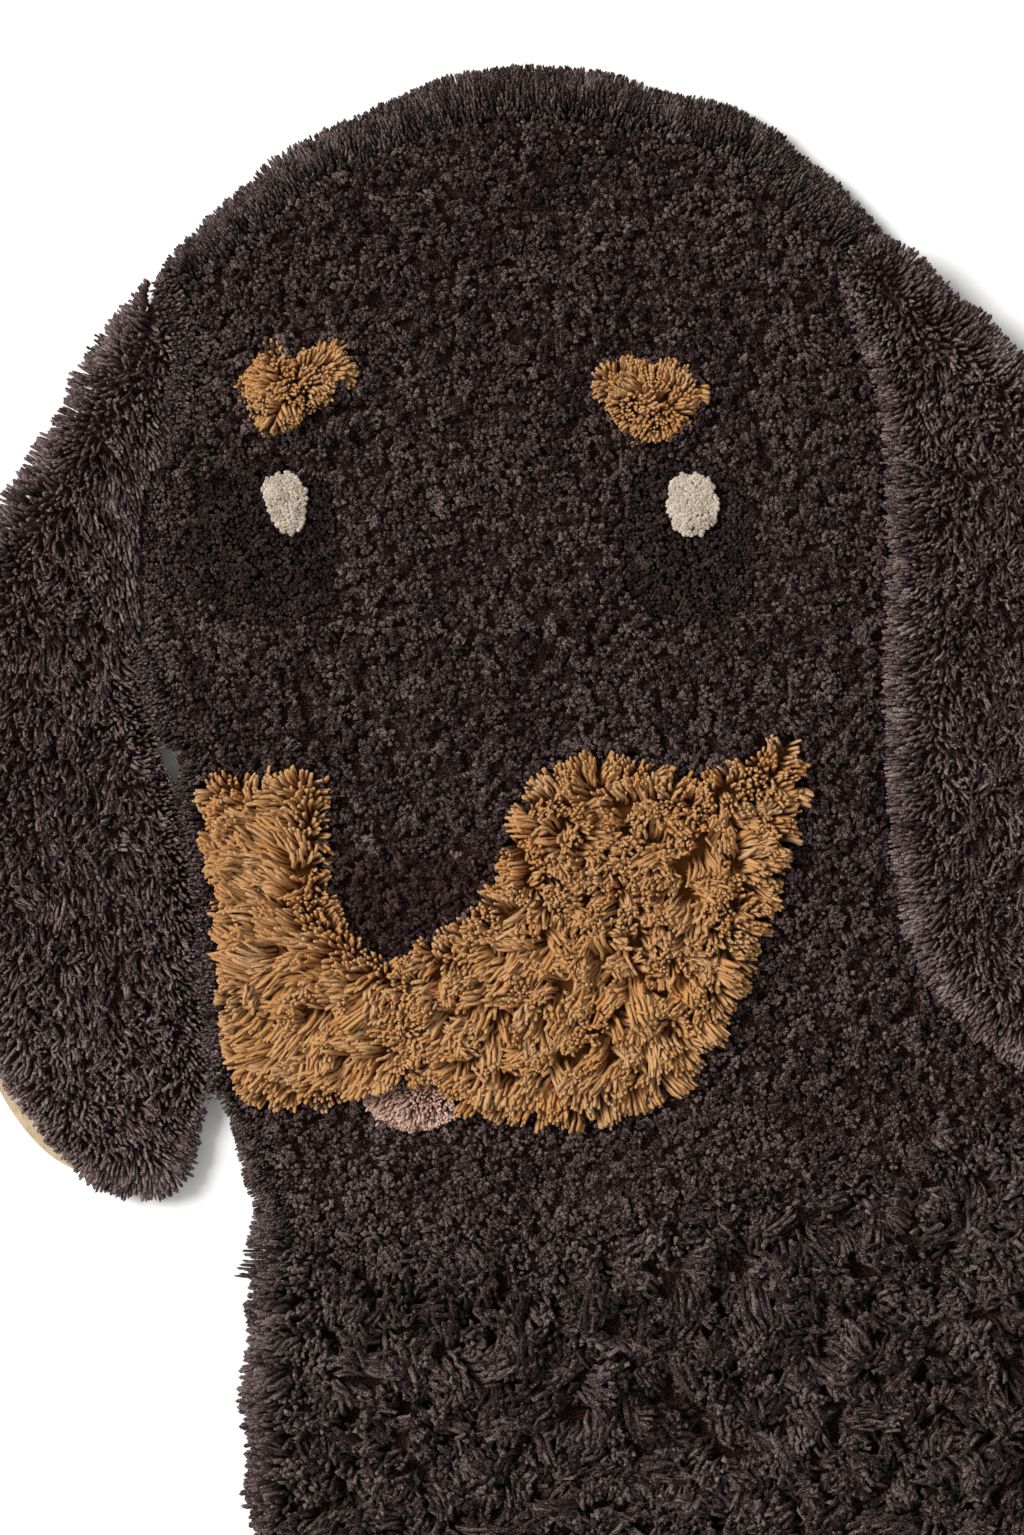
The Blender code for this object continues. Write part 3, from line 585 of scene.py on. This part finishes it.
class Pile:
    """The strands of one piece of the scene."""

    def __init__(self):
        self.points, self.along, self.tint, self.brown = [], [], [], []
        self.corners, self.lengths, self.places, self.cells = [], [], [], []
        self.point_count = 0
        self.strand_count = 0

    def add(self, path, radius, form, crimp, tint, brown, chance):
        count = len(radius)
        points, along = sweep(path, radius, form, crimp, chance)
        each = points.shape[1]
        faces, places = strand_faces(form)
        offsets = self.point_count + each * np.arange(count)
        flat = np.array([index for face in faces for index in face])
        self.points.append(points.reshape(-1, 3))
        self.along.append(along)
        self.tint.append(np.repeat(tint, each))
        self.brown.append(np.repeat(brown, each))
        self.corners.append((offsets[:, None] + flat[None, :]).ravel())
        self.lengths.append(np.tile([len(face) for face in faces], count))
        self.places.append(np.tile([spot for face in places for spot in face], (count, 1)))
        self.cells.append(np.repeat(self.strand_count + np.arange(count), len(flat)))
        self.point_count += each * count
        self.strand_count += count

    def make(self, name, material, slot, nodes):
        """The piece itself.  Its bake map gives each strand a small square of its own."""
        mesh = bpy.data.meshes.new(name)
        points = np.concatenate(self.points)
        corners = np.concatenate(self.corners)
        lengths = np.concatenate(self.lengths)
        mesh.vertices.add(len(points))
        mesh.vertices.foreach_set("co", points.astype(np.float32).ravel())
        mesh.loops.add(len(corners))
        mesh.loops.foreach_set("vertex_index", corners.astype(np.int32))
        mesh.polygons.add(len(lengths))
        starts = np.concatenate([[0], np.cumsum(lengths)[:-1]])
        mesh.polygons.foreach_set("loop_start", starts.astype(np.int32))
        mesh.polygons.foreach_set("use_smooth", np.ones(len(lengths), dtype=bool))
        for key, rows in (("along", self.along), ("tint", self.tint), ("brown", self.brown)):
            set_values(mesh, key, np.concatenate(rows))
        places = np.concatenate(self.places)
        cells = np.concatenate(self.cells)
        strand_map = mesh.uv_layers.new(name="Strand")
        strand_map.data.foreach_set("uv", places.astype(np.float32).ravel())
        across = math.ceil(math.sqrt(self.strand_count))
        corner = np.column_stack([cells % across, cells // across])
        bake_map = mesh.uv_layers.new(name="OFBake")
        baked = (corner + CELL_MARGIN + (1.0 - 2.0 * CELL_MARGIN) * places) / across
        bake_map.data.foreach_set("uv", baked.astype(np.float32).ravel())
        mesh.update(calc_edges=True)
        mesh.materials.append(material)
        place_piece(name, mesh, nodes)


def reach_of(tilt, stiff=PARTS[0][1]):
    """How far a strand's tip lies to the side of its root, as a share of its length."""
    return (PARTS[0][0] * np.sin(stiff * tilt)
            + sum(length * np.sin(bent * tilt) for length, bent in PARTS[1:]))


def rise_of(tilt):
    """How far a strand's tip lies above its root, as a share of its length."""
    return sum(length * np.cos(bent * tilt) for length, bent in PARTS)


TILTS = np.linspace(0.0, MOST_TILT, TILT_STEPS)
REACHES = reach_of(TILTS) / rise_of(np.minimum(TILTS, LIFTED))

# Where strands stand: their roots in the plan, the height of the pile there, how they lean, how
# near each is to the rim, from 0 inside to 1 at the outermost strands, for its lean and for how
# flat it lies, and the tilt with which it passes the rim.
Field = namedtuple("Field", "points height lean edge flat most")


def chosen(field, part):
    return Field(*(values[part] for values in field))


def field_of(points, rim, pile, fringe=FRINGE, inset_share=INSET, overhang=0.0):
    """The points far enough inside a rim for roots, leaning towards it such that the outermost
    strands just reach it."""
    gap, place, lock = nearest_on(points, rim)
    inset = np.maximum(inset_share * millimetres(lock), LEAST_INSET)
    seam = np.clip(1.0 - lock / SEAM_LOCK, 0.0, 1.0)
    over = overhang * seam
    for x, y, reach in OPEN:
        away = np.hypot(points[:, 0] - x, points[:, 1] - y) / reach
        over = over * (1.0 - np.exp(-away ** 4))
    passed = PASSED * np.clip(lock / FULL_LOCK, 0.0, 1.0)
    tilt = np.interp((inset + over + passed) * PLAN_UNIT / pile, REACHES, TILTS)
    beyond_inset = np.maximum(gap - inset, 0.0)
    edge = np.exp(-(beyond_inset / fringe) ** SHARPNESS)
    field = Field(points, np.full(len(points), pile + CANVAS),
                  unit(place - points) * (tilt * edge)[:, None], edge,
                  np.exp(-beyond_inset / LOW_FRINGE) * np.clip(lock / SEAM_LOCK, 0.0, 1.0),
                  np.interp((gap + over + ROOM) * PLAN_UNIT / pile, REACHES, TILTS))
    return chosen(field, gap > inset)


def locks_of(points, spacing, chance):
    """Middles of locks of strands, and the number of the lock that each strand is in."""
    low, high = points.min(axis=0) - spacing, points.max(axis=0) + spacing
    box = np.array([(low[0], low[1]), (high[0], low[1]), (high[0], high[1]), (low[0], high[1])])
    locks = scattered(box, spacing, LOCK_JITTER, chance, thin=False)
    tree = KDTree(len(locks))
    for index, (x, y) in enumerate(locks):
        tree.insert((x, y, 0.0), index)
    tree.balance()
    return locks, np.array([tree.find((x, y, 0.0))[1] for x, y in points])


def grow(pile, field, base, style, form, chance, tint, brown=0.0, order=ORDER):
    """Adds a strand at each point, from the height of its base to the height of the pile."""
    points, count = field.points, len(field.points)
    if count == 0:
        return
    locks, nearest = locks_of(points, style.lock, chance)

    def per_lock(*size):
        return chance.normal(size=(len(locks), *size))[nearest]

    calm = (1.0 - order * field.edge ** CALMED)[:, None]
    lean = field.lean + calm * (style.wander * per_lock(2)
                                + style.fray * chance.normal(size=(count, 2)))
    stray = (STRAY - STRAY_LESS * field.edge) * style.fray
    lean = lean + stray[:, None] * chance.normal(size=(count, 2))
    tilt = np.minimum(np.hypot(*lean.T), field.most)
    lean = unit(lean)
    share = 1.0 + style.uneven * (1.0 - EVENED * order * field.edge) * (
        LENGTHS * chance.normal(size=count) + LENGTHS * per_lock())
    stiff = PARTS[0][1] + LAID * field.flat
    length = (field.height - base) * share / rise_of(np.minimum(tilt, LIFTED))
    bend = np.maximum(tilt, LEAST_BEND)
    length = length * np.where(field.flat > FLAT, reach_of(bend) / reach_of(bend, stiff), 1.0)

    heading = np.column_stack([lean[:, 0], -lean[:, 1], np.zeros(count)])
    upright = np.array([0.0, 0.0, 1.0])
    turned = PARTS[2][1] + style.hook * np.abs(per_lock()) * calm[:, 0]
    path = [to_world(points, base)]
    for (part, _), bent in zip(PARTS, (stiff, PARTS[1][1], turned)):
        angle = (bent * tilt)[:, None]
        path.append(path[-1] + part * length[:, None] * (np.sin(angle) * heading
                                                         + np.cos(angle) * upright))
    aside = style.curl * length[:, None] * (RIM_CURL + (1.0 - RIM_CURL) * calm) * CURL_WAYS
    for bend in (1, 2):
        path[bend] = path[bend] + aside * (per_lock(3) + ALONE * chance.normal(size=(count, 3)))
    path[2][:, 2] -= DROOP_BELOW * DROOP * field.flat
    path[3][:, 2] -= DROOP * field.flat
    drawn = style.gather * PLAN_UNIT * (locks[nearest] - points) * calm
    path[3][:, 0] += drawn[:, 0]
    path[3][:, 1] -= drawn[:, 1]
    for bend in path[1:]:
        bend[:, 2] = np.maximum(bend[:, 2], LEAST_TIP + style.radius * PLAN_UNIT)
    radius = style.radius * PLAN_UNIT * chance.uniform(*THICKNESS, count)
    radius = radius * np.where(beyond(points), COARSE_WIDTH, 1.0)
    pile.add(path, radius, form, style.crimp * (1.0 - UNCRIMPED * field.edge),
             tint + LOCK_TINT * per_lock(), brown + np.zeros(count), chance)


# --- materials ---
# Noise for each metre, and for each strand across and along it.
SPECK_SCALE, DYE_SCALE, THREAD_SCALE, SLUB_SCALE = 1350.0, 42.0, 380.0, 260.0
FIBRE_CELLS, FIBRE_SCALE = (9.0, 2.2, 1.0), 1.6
# How far each moves the yarn from deep to pale, and what brings their sum back to the tint.
# The specks are pale fibres of the mixed yarn, weighted strongly enough to be painted highlights
# as well.
SPECK_WEIGHT, FIBRE_WEIGHT, DYE_WEIGHT, CENTRED = 3.4, 0.8, 0.35, -2.27
YARN_STOPS = (0.05, 0.48, 0.95)
BROWN_STOPS = (0.1, 0.9)
# Painted shade: the yarn darkens towards its root, from the painted root shadow at the first
# place, through the root colour, to none.
ROOT_SHADE_STOPS = (0.10, 0.24, 0.70)  # places along a strand
PAINTED_ROOT_SHADOW = (0.20, 0.13, 0.10)
WHITE = (1.0, 1.0, 1.0)
GRAIN = 0.6
THREAD_RELIEF, THREAD_WAVER = 0.0004, 0.6
CANVAS_STOPS = (0.1, 0.55, 1.0)
CANVAS_COLOURS = ((0.30, 0.21, 0.12), (0.56, 0.44, 0.29), (0.72, 0.60, 0.44))


def feed(tree, node, inputs):
    """Links or sets inputs of a node, by their names or numbers."""
    for key, value in inputs.items():
        if isinstance(value, bpy.types.NodeSocket):
            tree.links.new(value, node.inputs[key])
        else:
            node.inputs[key].default_value = value


def add_node(tree, kind, inputs, **settings):
    """New node of a kind, with its inputs and its other settings."""
    node = tree.nodes.new(kind)
    for key, value in settings.items():
        setattr(node, key, value)
    feed(tree, node, inputs)
    return node


def blend_of(tree, share, first, second, kind="MIX"):
    """Colour mixed from two."""
    return add_node(tree, "ShaderNodeMix", {"Factor": share, 6: first, 7: second},
                    data_type="RGBA", blend_type=kind).outputs[2]


def sum_of(tree, *terms):
    """Sum of sockets, each times its factor, plus a constant last term."""
    total = terms[-1]
    for socket, factor in terms[:-1]:
        total = add_node(tree, "ShaderNodeMath", {0: socket, 1: factor, 2: total},
                         operation="MULTIPLY_ADD").outputs[0]
    return total


def ramp_of(tree, share, stops, colours):
    """Colour that changes from stop to stop."""
    ramp = add_node(tree, "ShaderNodeValToRGB", {0: share})
    elements = ramp.color_ramp.elements
    while len(elements) < len(stops):
        elements.new(0.5)
    for element, place, colour in zip(elements, stops, colours):
        element.position = place
        element.color = (*colour, 1.0)
    return ramp.outputs[0]


def attribute(tree, name):
    return add_node(tree, "ShaderNodeAttribute", {}, attribute_name=name).outputs["Fac"]


def noise_of(tree, place, scale, detail=2.0):
    return add_node(tree, "ShaderNodeTexNoise", {"Scale": scale, "Detail": detail,
                                                 "Vector": place}).outputs["Fac"]


def bump_of(tree, height, strength, distance):
    return add_node(tree, "ShaderNodeBump", {"Strength": strength, "Distance": distance,
                                             "Height": height}).outputs["Normal"]


def start_material(name, roughness, sheen, specular=0.08):
    made = bpy.data.materials.new(name)
    made.use_nodes = True
    shader = made.node_tree.nodes["Principled BSDF"]
    feed(made.node_tree, shader, {"Roughness": roughness, "Sheen Weight": sheen,
                                  "Sheen Roughness": 0.5, "Specular IOR Level": specular})
    return made, made.node_tree, shader


# root is the colour of the painted shade on the lower part of each strand.
def yarn(name, deep, plain, pale, brown=None, root=(0.40, 0.26, 0.24), relief=0.0014):
    """Cut cotton yarn with an uneven dye and pale fibre flecks, the flecks strong enough to be
    painted highlights too, and with painted shade that darkens each strand towards its root.
    """
    made, tree, shader = start_material(name, roughness=0.92, sheen=0.04)
    place = add_node(tree, "ShaderNodeTexCoord", {}).outputs["Object"]
    strand = add_node(tree, "ShaderNodeUVMap", {}, uv_map="Strand").outputs["UV"]
    stretch = add_node(tree, "ShaderNodeMapping", {"Scale": FIBRE_CELLS, "Vector": strand})
    speck = noise_of(tree, place, SPECK_SCALE)
    dye = noise_of(tree, place, DYE_SCALE)
    fibre = noise_of(tree, stretch.outputs["Vector"], FIBRE_SCALE, detail=3.0)
    share = sum_of(tree, (attribute(tree, "tint"), 1.0), (speck, SPECK_WEIGHT),
                   (fibre, FIBRE_WEIGHT), (dye, DYE_WEIGHT), CENTRED)
    colour = ramp_of(tree, share, YARN_STOPS, (deep, plain, pale))
    if brown is not None:
        warm = ramp_of(tree, share, BROWN_STOPS, brown)
        colour = blend_of(tree, attribute(tree, "brown"), colour, warm)
    # Painted shade between the strands: each strand darker towards its root.
    painted_root_shade = ramp_of(tree, attribute(tree, "along"), ROOT_SHADE_STOPS, (PAINTED_ROOT_SHADOW, root, WHITE))
    grain = sum_of(tree, (fibre, GRAIN), (speck, GRAIN), 0.0)
    feed(tree, shader, {"Base Color": blend_of(tree, 1.0, colour, painted_root_shade, "MULTIPLY"),
                        "Normal": bump_of(tree, grain, 0.9, relief)})
    return made


def canvas_cloth(name):
    """Plain natural canvas, woven of two sets of threads."""
    made, tree, shader = start_material(name, roughness=0.9, sheen=0.1)
    place = add_node(tree, "ShaderNodeTexCoord", {}).outputs["Object"]
    wave = {"Scale": THREAD_SCALE, "Distortion": THREAD_WAVER, "Vector": place}
    across, along = (add_node(tree, "ShaderNodeTexWave", wave, bands_direction=way).outputs["Fac"]
                     for way in ("X", "Y"))
    slub = noise_of(tree, place, SLUB_SCALE, detail=3.0)
    share = sum_of(tree, (across, 0.35), (along, 0.35), (slub, 0.7), -0.2)
    feed(tree, shader, {"Base Color": ramp_of(tree, share, CANVAS_STOPS, CANVAS_COLOURS),
                        "Normal": bump_of(tree, share, 0.5, THREAD_RELIEF)})
    return made


DARK_BROWN = ((0.017, 0.0062, 0.0057), (0.086, 0.044, 0.041))
DARK = yarn("dark_yarn", (0.0115, 0.0044, 0.0040), (0.041, 0.0232, 0.0220), (0.215, 0.160, 0.154),
            DARK_BROWN)
EAR_YARN = yarn("ear_yarn", (0.030, 0.0132, 0.0122), (0.088, 0.051, 0.0485), (0.29, 0.220, 0.212),
                DARK_BROWN)
EYE_YARN = yarn("eye_yarn", (0.0070, 0.0021, 0.0019), (0.0195, 0.0088, 0.0081),
                (0.080, 0.055, 0.052))
TAN = yarn("tan_yarn", (0.48, 0.222, 0.066), (0.52, 0.278, 0.112), (0.54, 0.338, 0.177),
           root=(1.0, 0.85, 0.62), relief=0.0008)
CREAM = yarn("cream_yarn", (0.35, 0.28, 0.21), (0.50, 0.42, 0.34), (0.64, 0.56, 0.48),
             root=(0.8, 0.77, 0.72))
PINK = yarn("pink_yarn", (0.46, 0.27, 0.20), (0.70, 0.44, 0.335), (0.84, 0.63, 0.53),
            root=(0.72, 0.64, 0.60))
CLOTH = canvas_cloth("canvas_cloth")


# --- the piles ---
def heather(field, chance, spread):
    """How pale each strand is: mixed yarn, with a slow change over the rug, and painted light
    that makes strands paler at a rim.
    """
    strength, cell, seed = DYE_CHANGE
    return (TINT + spread * chance.normal(size=len(field.points))
            + strength * uneven(field.points, cell, seed) + RIM_PAINTED_LIGHT * field.edge)


def paler_below(points, most, first, over):
    """How much paler the strands grow downwards in the plan."""
    return most * smooth_step((points[:, 1] - first) / over)


def browned(points, chance, brown, share):
    """How brown each strand is, where a share of them is browner."""
    return brown * (chance.random(len(points)) < share)


def panel_points(pitch, chance):
    """Roots of the panel's own pile, outside every patch and what the right ear hides."""
    points = roots_in(PANEL, pitch, chance)
    for name, rim in PATCHES.items():
        kind = name.split("_")[0]
        if kind in UNDER_PATCH:
            points = points[depth_in(points, rim) < UNDER_PATCH[kind]]
    hidden = ((depth_in(points, EAR_RIGHT) > HIDDEN_BY_EAR)
              & (depth_in(points, PANEL) > HIDDEN_IN_PANEL))
    return points[~hidden]


def crease(points):
    """How deep in a crease of the sheared pile each point is, from 0 to 1."""
    total = np.zeros(len(points))
    for index, (across, down, half_width) in enumerate(CREASES):
        value = uneven(points, (across, down), CREASE_SEED + index)
        here = smooth_step(CREASED[0] + CREASED[1] * uneven(points, CREASED_CELL,
                                                            CREASED_SEED + index))
        total = np.maximum(total, here * np.exp(-(value / half_width) ** 2))
    return total


def groove(points):
    """1 along the groove beside the left ear and 0 beyond its ends."""
    x, y = points[:, 0], points[:, 1]
    ends = (smooth_step((y - GROOVE.first) / GROOVE.deepens)
            * smooth_step((GROOVE.last - y) / GROOVE.ends))
    return ends * (x < FRAME_WIDTH / 2)


def add_head():
    """The sheared pile of the head, in two pieces."""
    chance = np.random.default_rng(SEED)
    piles = {"head_pile_upper": Pile(), "head_pile_lower": Pile()}
    for style, form in ((HEAD, NUB), (CROWN, HAIR)):
        points = panel_points(style.pitch, chance)
        points = points[chance.random(len(points)) > body_share(points)]
        field = field_of(points, PANEL, HEAD_PILE - CANVAS, FRINGE, INSET,
                         OVERHANG * (1.0 - groove(points)))
        bent = np.hypot(*field.lean.T) > BENT
        field = chosen(field, bent if form is HAIR else ~bent)
        points = field.points
        height = panel_height(points) - CREASE_DEPTH * crease(points) * (1.0 - field.edge)
        near = np.exp(-(nearest_on(points, PANEL)[0] / GROOVE.width) ** 2)
        height = height - GROOVE.sunk * groove(points) * near
        field = field._replace(height=height, lean=field.lean + drift(points, *HEAD_DRIFT))
        tint = heather(field, chance, HEAD_SPREAD) + paler_below(points, *LOWER_HEAD)
        brown = (NOSE_BROWN * smooth_step(depth_in(points, NOSE) / NOSE_FADE)
                 + browned(points, chance, *HEAD_BROWN))
        upper = points[:, 1] < HEAD_CUT
        for name, part in (("head_pile_upper", upper), ("head_pile_lower", ~upper)):
            grow(piles[name], chosen(field, part), CANVAS, style, form, chance, tint[part],
                 brown[part])
    for name, pile in piles.items():
        pile.make(name, DARK, "dark_pile", ["main_panel"])


def add_body():
    """The shag of the body, in three pieces from the neck down."""
    chance = np.random.default_rng(SEED + 1)
    points = panel_points(BODY.pitch, chance)
    points = points[chance.random(len(points)) < body_share(points)]
    field = field_of(points, PANEL, BODY_PILE - CANVAS)
    points = field.points
    strength, cell, seed = BODY_TUFTS
    field = field._replace(height=panel_height(points) + strength * uneven(points, cell, seed))
    tint = heather(field, chance, SHAG_SPREAD) + BODY_PALER
    brown = browned(points, chance, *BODY_BROWN)
    for name, first, last in zip(("neck", "middle", "tail"), BODY_CUTS, BODY_CUTS[1:]):
        part = (points[:, 1] >= first) & (points[:, 1] < last)
        pile = Pile()
        grow(pile, chosen(field, part), CANVAS, BODY, HAIR, chance, tint[part], brown[part])
        pile.make("body_pile_" + name, DARK, "dark_pile", ["main_panel"])


def add_ear(name, rim, floor, seed):
    """Pile of one ear, combed down it.  It stands back from the groove and hangs along it."""
    chance = np.random.default_rng(seed)
    inner = (rim[:, 2] < SEAM_LOCK) * groove(rim)
    rim = rim - np.outer(inner, (GROOVE.back, 0.0, 0.0))
    points = roots_in(rim, EAR.pitch, chance)
    field = field_of(points, rim, EAR_PILE, FRINGE, INSET, OVERHANG * (1.0 - groove(points)))
    points = field.points
    lean = field.lean + (1.0 - field.edge)[:, None] * (
        EAR_COMB[name] + drift(points, *EAR_DRIFT, seed + 1))
    height = floor + EAR_PILE + PATCH_LUMP * lumps(points * PATCH_LUMP_SCALE)
    hung = groove(points) * np.exp(-(nearest_on(points, rim)[0] / HANG.width) ** 2)
    hung = hung * (points[:, 0] > HANG.first)
    field = field._replace(height=height, lean=lean + np.outer(hung, HANG.lean),
                           most=np.maximum(field.most, HANG.most * hung))
    pile = Pile()
    tint = heather(field, chance, SHAG_SPREAD) + EAR_PALER + paler_below(points, *LOWER_EAR)
    grow(pile, field, floor, EAR, HAIR, chance, tint, browned(points, chance, *EAR_BROWN))
    pile.make(name + "_pile", EAR_YARN, "ear_pile", [name])


def add_patch(name, level, style, form, material, slot, seed, rim_edge=PLAIN_EDGE):
    """Pile of one patch.  It may lean away from a place, up to a tilt at a distance."""
    chance = np.random.default_rng(seed)
    rim = PATCHES[name]
    points = scattered(rim, style.pitch, PATCH_JITTER, chance)
    if name.startswith("eye"):
        glint = PATCHES[name.replace("eye", "glint")]
        points = points[depth_in(points, glint) < UNDER_GLINT]
    field = field_of(points, rim, level - CANVAS, rim_edge.fringe, rim_edge.inset,
                     rim_edge.overhang)
    points, within = field.points, 1.0 - field.edge
    fan = FANS.get(name, UPRIGHT)
    away = points - fan.middle
    reached = fan.tilt * smooth_step(np.hypot(*away.T) / fan.distance) * within
    strength, cell = PATCH_DRIFT
    drifted = drift(points, strength * fan.tilt, cell, seed + 1)
    field = field._replace(height=level + PATCH_LUMP * lumps(points * PATCH_LUMP_SCALE),
                           lean=field.lean + unit(away) * reached[:, None]
                           + drifted * within[:, None])
    tint = PATCH_TINT + PATCH_SPREAD * chance.normal(size=len(points))
    pile = Pile()
    grow(pile, field, CANVAS, style, form, chance, tint, order=PATCH_ORDER)
    pile.make(name + "_pile", material, slot, [name])
    add_roots(name, name, CANVAS, material, rim, rim_edge.inset, PATCH_MASS)


def add_patches():
    """The patches of other yarn: eyes and their glints, brows, jowls and tongue."""
    for index, side in enumerate(("left", "right")):
        add_patch("eye_" + side, EYE_PILE, EYE, NUB, EYE_YARN, "eye_pile", 31 + index)
        add_patch("glint_" + side, GLINT_PILE, GLINT, DOT, CREAM, "cream_pile", 41 + index)
    for kind, level, style, rim_edge, seed in (("brow", BROW_PILE, BROW, BROW_EDGE, 51),
                                               ("jowl", JOWL_PILE, JOWL, JOWL_EDGE, 61)):
        for index, side in enumerate(("_left", "_right")):
            add_patch(kind + side, level, style, PLY, TAN, "tan_pile", seed + index, rim_edge)
    add_patch("tongue", TONGUE_PILE, TONGUE, HAIR, PINK, "pink_pile", 71, TONGUE_EDGE)


# --- canvas and the yarn mass under the strands ---
def add_roots(name, node, base, material, rim, inset, mass):
    """The mass of yarn under the strands, darkened by painted shade: the CAD node's own shape,
    lowered, and drawn in from its rim."""
    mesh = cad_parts[node].data.copy()
    mesh.name = name + "_roots"
    mesh.materials.clear()
    mesh.materials.append(material)
    points = np.empty(len(mesh.vertices) * 3)
    mesh.vertices.foreach_get("co", points)
    points = points.reshape(-1, 3)
    plan = np.column_stack([points[:, 0] / PLAN_UNIT + PLAN_MIDDLE[0],
                            PLAN_MIDDLE[1] - points[:, 1] / PLAN_UNIT])
    floor = points[:, 2].min()
    share = mass.share - mass.sunk * body_share(plan)
    points[:, 2] = base + (points[:, 2] - floor) * share
    gap, place, lock = nearest_on(plan, rim)
    within = inside(plan, rim)
    inward = unit(plan - place) * np.where(within, 1.0, -1.0)[:, None]
    needed = inset * millimetres(lock) + mass.clear
    moved = ~within | (gap < needed)
    plan[moved] = place[moved] + inward[moved] * needed[moved, None]
    points[:, :2] = to_world(plan, 0.0)[:, :2]
    mesh.vertices.foreach_set("co", points.ravel())
    set_values(mesh, "tint", np.full(len(plan), MASS_TINT))
    # Painted shade: a low place along a strand makes the mass dark, as if deep between the
    # strands.
    set_values(mesh, "along", np.full(len(plan), mass.along))
    mesh.update()
    place_piece(mesh.name, mesh, [node])


def signed_area(points):
    """Area inside a closed outline, with the sign of the way that it runs."""
    x, y = points.T
    return 0.5 * np.sum(x * np.roll(y, -1) - np.roll(x, -1) * y)


def add_sheet(name, rim, inset_share, base, node, clear=0.0):
    """Flat canvas under a pile, drawn in from the rim by a share of its locks and more."""
    points = rim[:, :2].copy()
    ahead = unit(np.roll(points, -1, axis=0) - np.roll(points, 1, axis=0))
    inward = np.column_stack([-ahead[:, 1], ahead[:, 0]]) * np.sign(signed_area(points))
    inset = np.maximum(inset_share * millimetres(rim[:, 2]), SHEET_INSET) + clear
    points += inward * inset[:, None]
    count = len(points)
    vertices = np.vstack([to_world(points, base + CANVAS), to_world(points, base)])
    walls = [(k, (k + 1) % count, count + (k + 1) % count, count + k) for k in range(count)]
    faces = [tuple(range(count)), tuple(reversed(range(count, 2 * count))), *walls]
    mesh = bpy.data.meshes.new(name)
    mesh.from_pydata(vertices.tolist(), [], faces)
    mesh.update()
    if mesh.polygons[0].normal.z < 0.0:
        mesh.flip_normals()
    mesh.materials.append(CLOTH)
    piece = place_piece(name, mesh, [node])


def add_canvas():
    on_panel = ["head_pile_upper", "head_pile_lower", "body_pile_neck", "body_pile_middle",
                "body_pile_tail", "panel_roots"]
    on_panel += [name + end for name in PATCHES for end in ("_pile", "_roots")]
    add_sheet("panel_canvas", PANEL, INSET, 0.0, "main_panel")
    add_sheet("ear_left_canvas", smooth_closed(EAR_LEFT_CANVAS), 0.0, 0.0,
              "ear_left_backing")
    add_sheet("ear_right_canvas", EAR_RIGHT, INSET, EAR_SEAT,
              "ear_right", SHEET_HIDDEN)


# --- floor, light and camera ---
FLOOR_SIZE = 40.0
FLOOR_DROP = 0.0003  # how far the floor is below the rug
FLOOR_WHITE = 0.93
SURROUND = 0.56  # strength of the even light around
LAMP_STRENGTH = 3.9
LAMP_WIDTH = 30.0  # degrees
LAMP_COLOUR = (1.0, 0.985, 0.96)
LAMP_TURN = (-14.0, -44.6, 0.0)  # degrees
CAMERA_HEIGHT = 2.2
CAMERA_REACH = 60.0
SENSOR = 36.0  # millimetres, along the frame's long side


def add_stage():
    """A white floor, a broad lamp and an even white surround."""
    bpy.ops.mesh.primitive_plane_add(size=FLOOR_SIZE, location=(0.0, 0.0, -FLOOR_DROP))
    floor = bpy.context.object
    floor.name = "floor"
    made, tree, shader = start_material("floor_paper", 1.0, 0.0, 0.0)
    feed(tree, shader, {"Base Color": (FLOOR_WHITE, FLOOR_WHITE, FLOOR_WHITE, 1.0)})
    floor.data.materials.append(made)

    world = bpy.data.worlds.new("studio")
    world.use_nodes = True
    feed(world.node_tree, world.node_tree.nodes["Background"],
         {"Color": (*WHITE, 1.0), "Strength": SURROUND})
    bpy.context.scene.world = world

    lamp = bpy.data.lights.new("window", "SUN")
    lamp.energy = LAMP_STRENGTH
    lamp.angle = math.radians(LAMP_WIDTH)
    lamp.color = LAMP_COLOUR
    sun = bpy.data.objects.new("window", lamp)
    sun.rotation_euler = [math.radians(turn) for turn in LAMP_TURN]
    bpy.context.scene.collection.objects.link(sun)


def add_camera():
    """Straight above the middle of the picture."""
    middle = to_world(np.array([(FRAME_WIDTH / 2, FRAME_HEIGHT / 2)]), 0.0)[0]
    lens = bpy.data.cameras.new("camera")
    lens.sensor_width = SENSOR
    lens.lens = SENSOR * (CAMERA_HEIGHT - HEAD_PILE) / (FRAME_HEIGHT * PLAN_UNIT)
    lens.clip_end = CAMERA_REACH
    camera = bpy.data.objects.new("camera", lens)
    camera.location = (middle[0], middle[1], CAMERA_HEIGHT)
    bpy.context.scene.collection.objects.link(camera)
    bpy.context.scene.camera = camera
    bpy.context.scene.view_settings.view_transform = "Standard"


add_head()
add_body()
add_ear("ear_left", EAR_LEFT, CANVAS + SEAT_GAP, 81)
add_ear("ear_right", EAR_RIGHT, EAR_SEAT + CANVAS, 91)
add_patches()
add_roots("panel", "main_panel", CANVAS, DARK, PANEL, INSET, PANEL_MASS)
add_roots("ear_left", "ear_left", CANVAS, EAR_YARN, EAR_LEFT, INSET, EAR_MASS)
add_roots("ear_right", "ear_right", EAR_SEAT + CANVAS, EAR_YARN, EAR_RIGHT, INSET,
          EAR_MASS)
add_canvas()
add_stage()
add_camera()
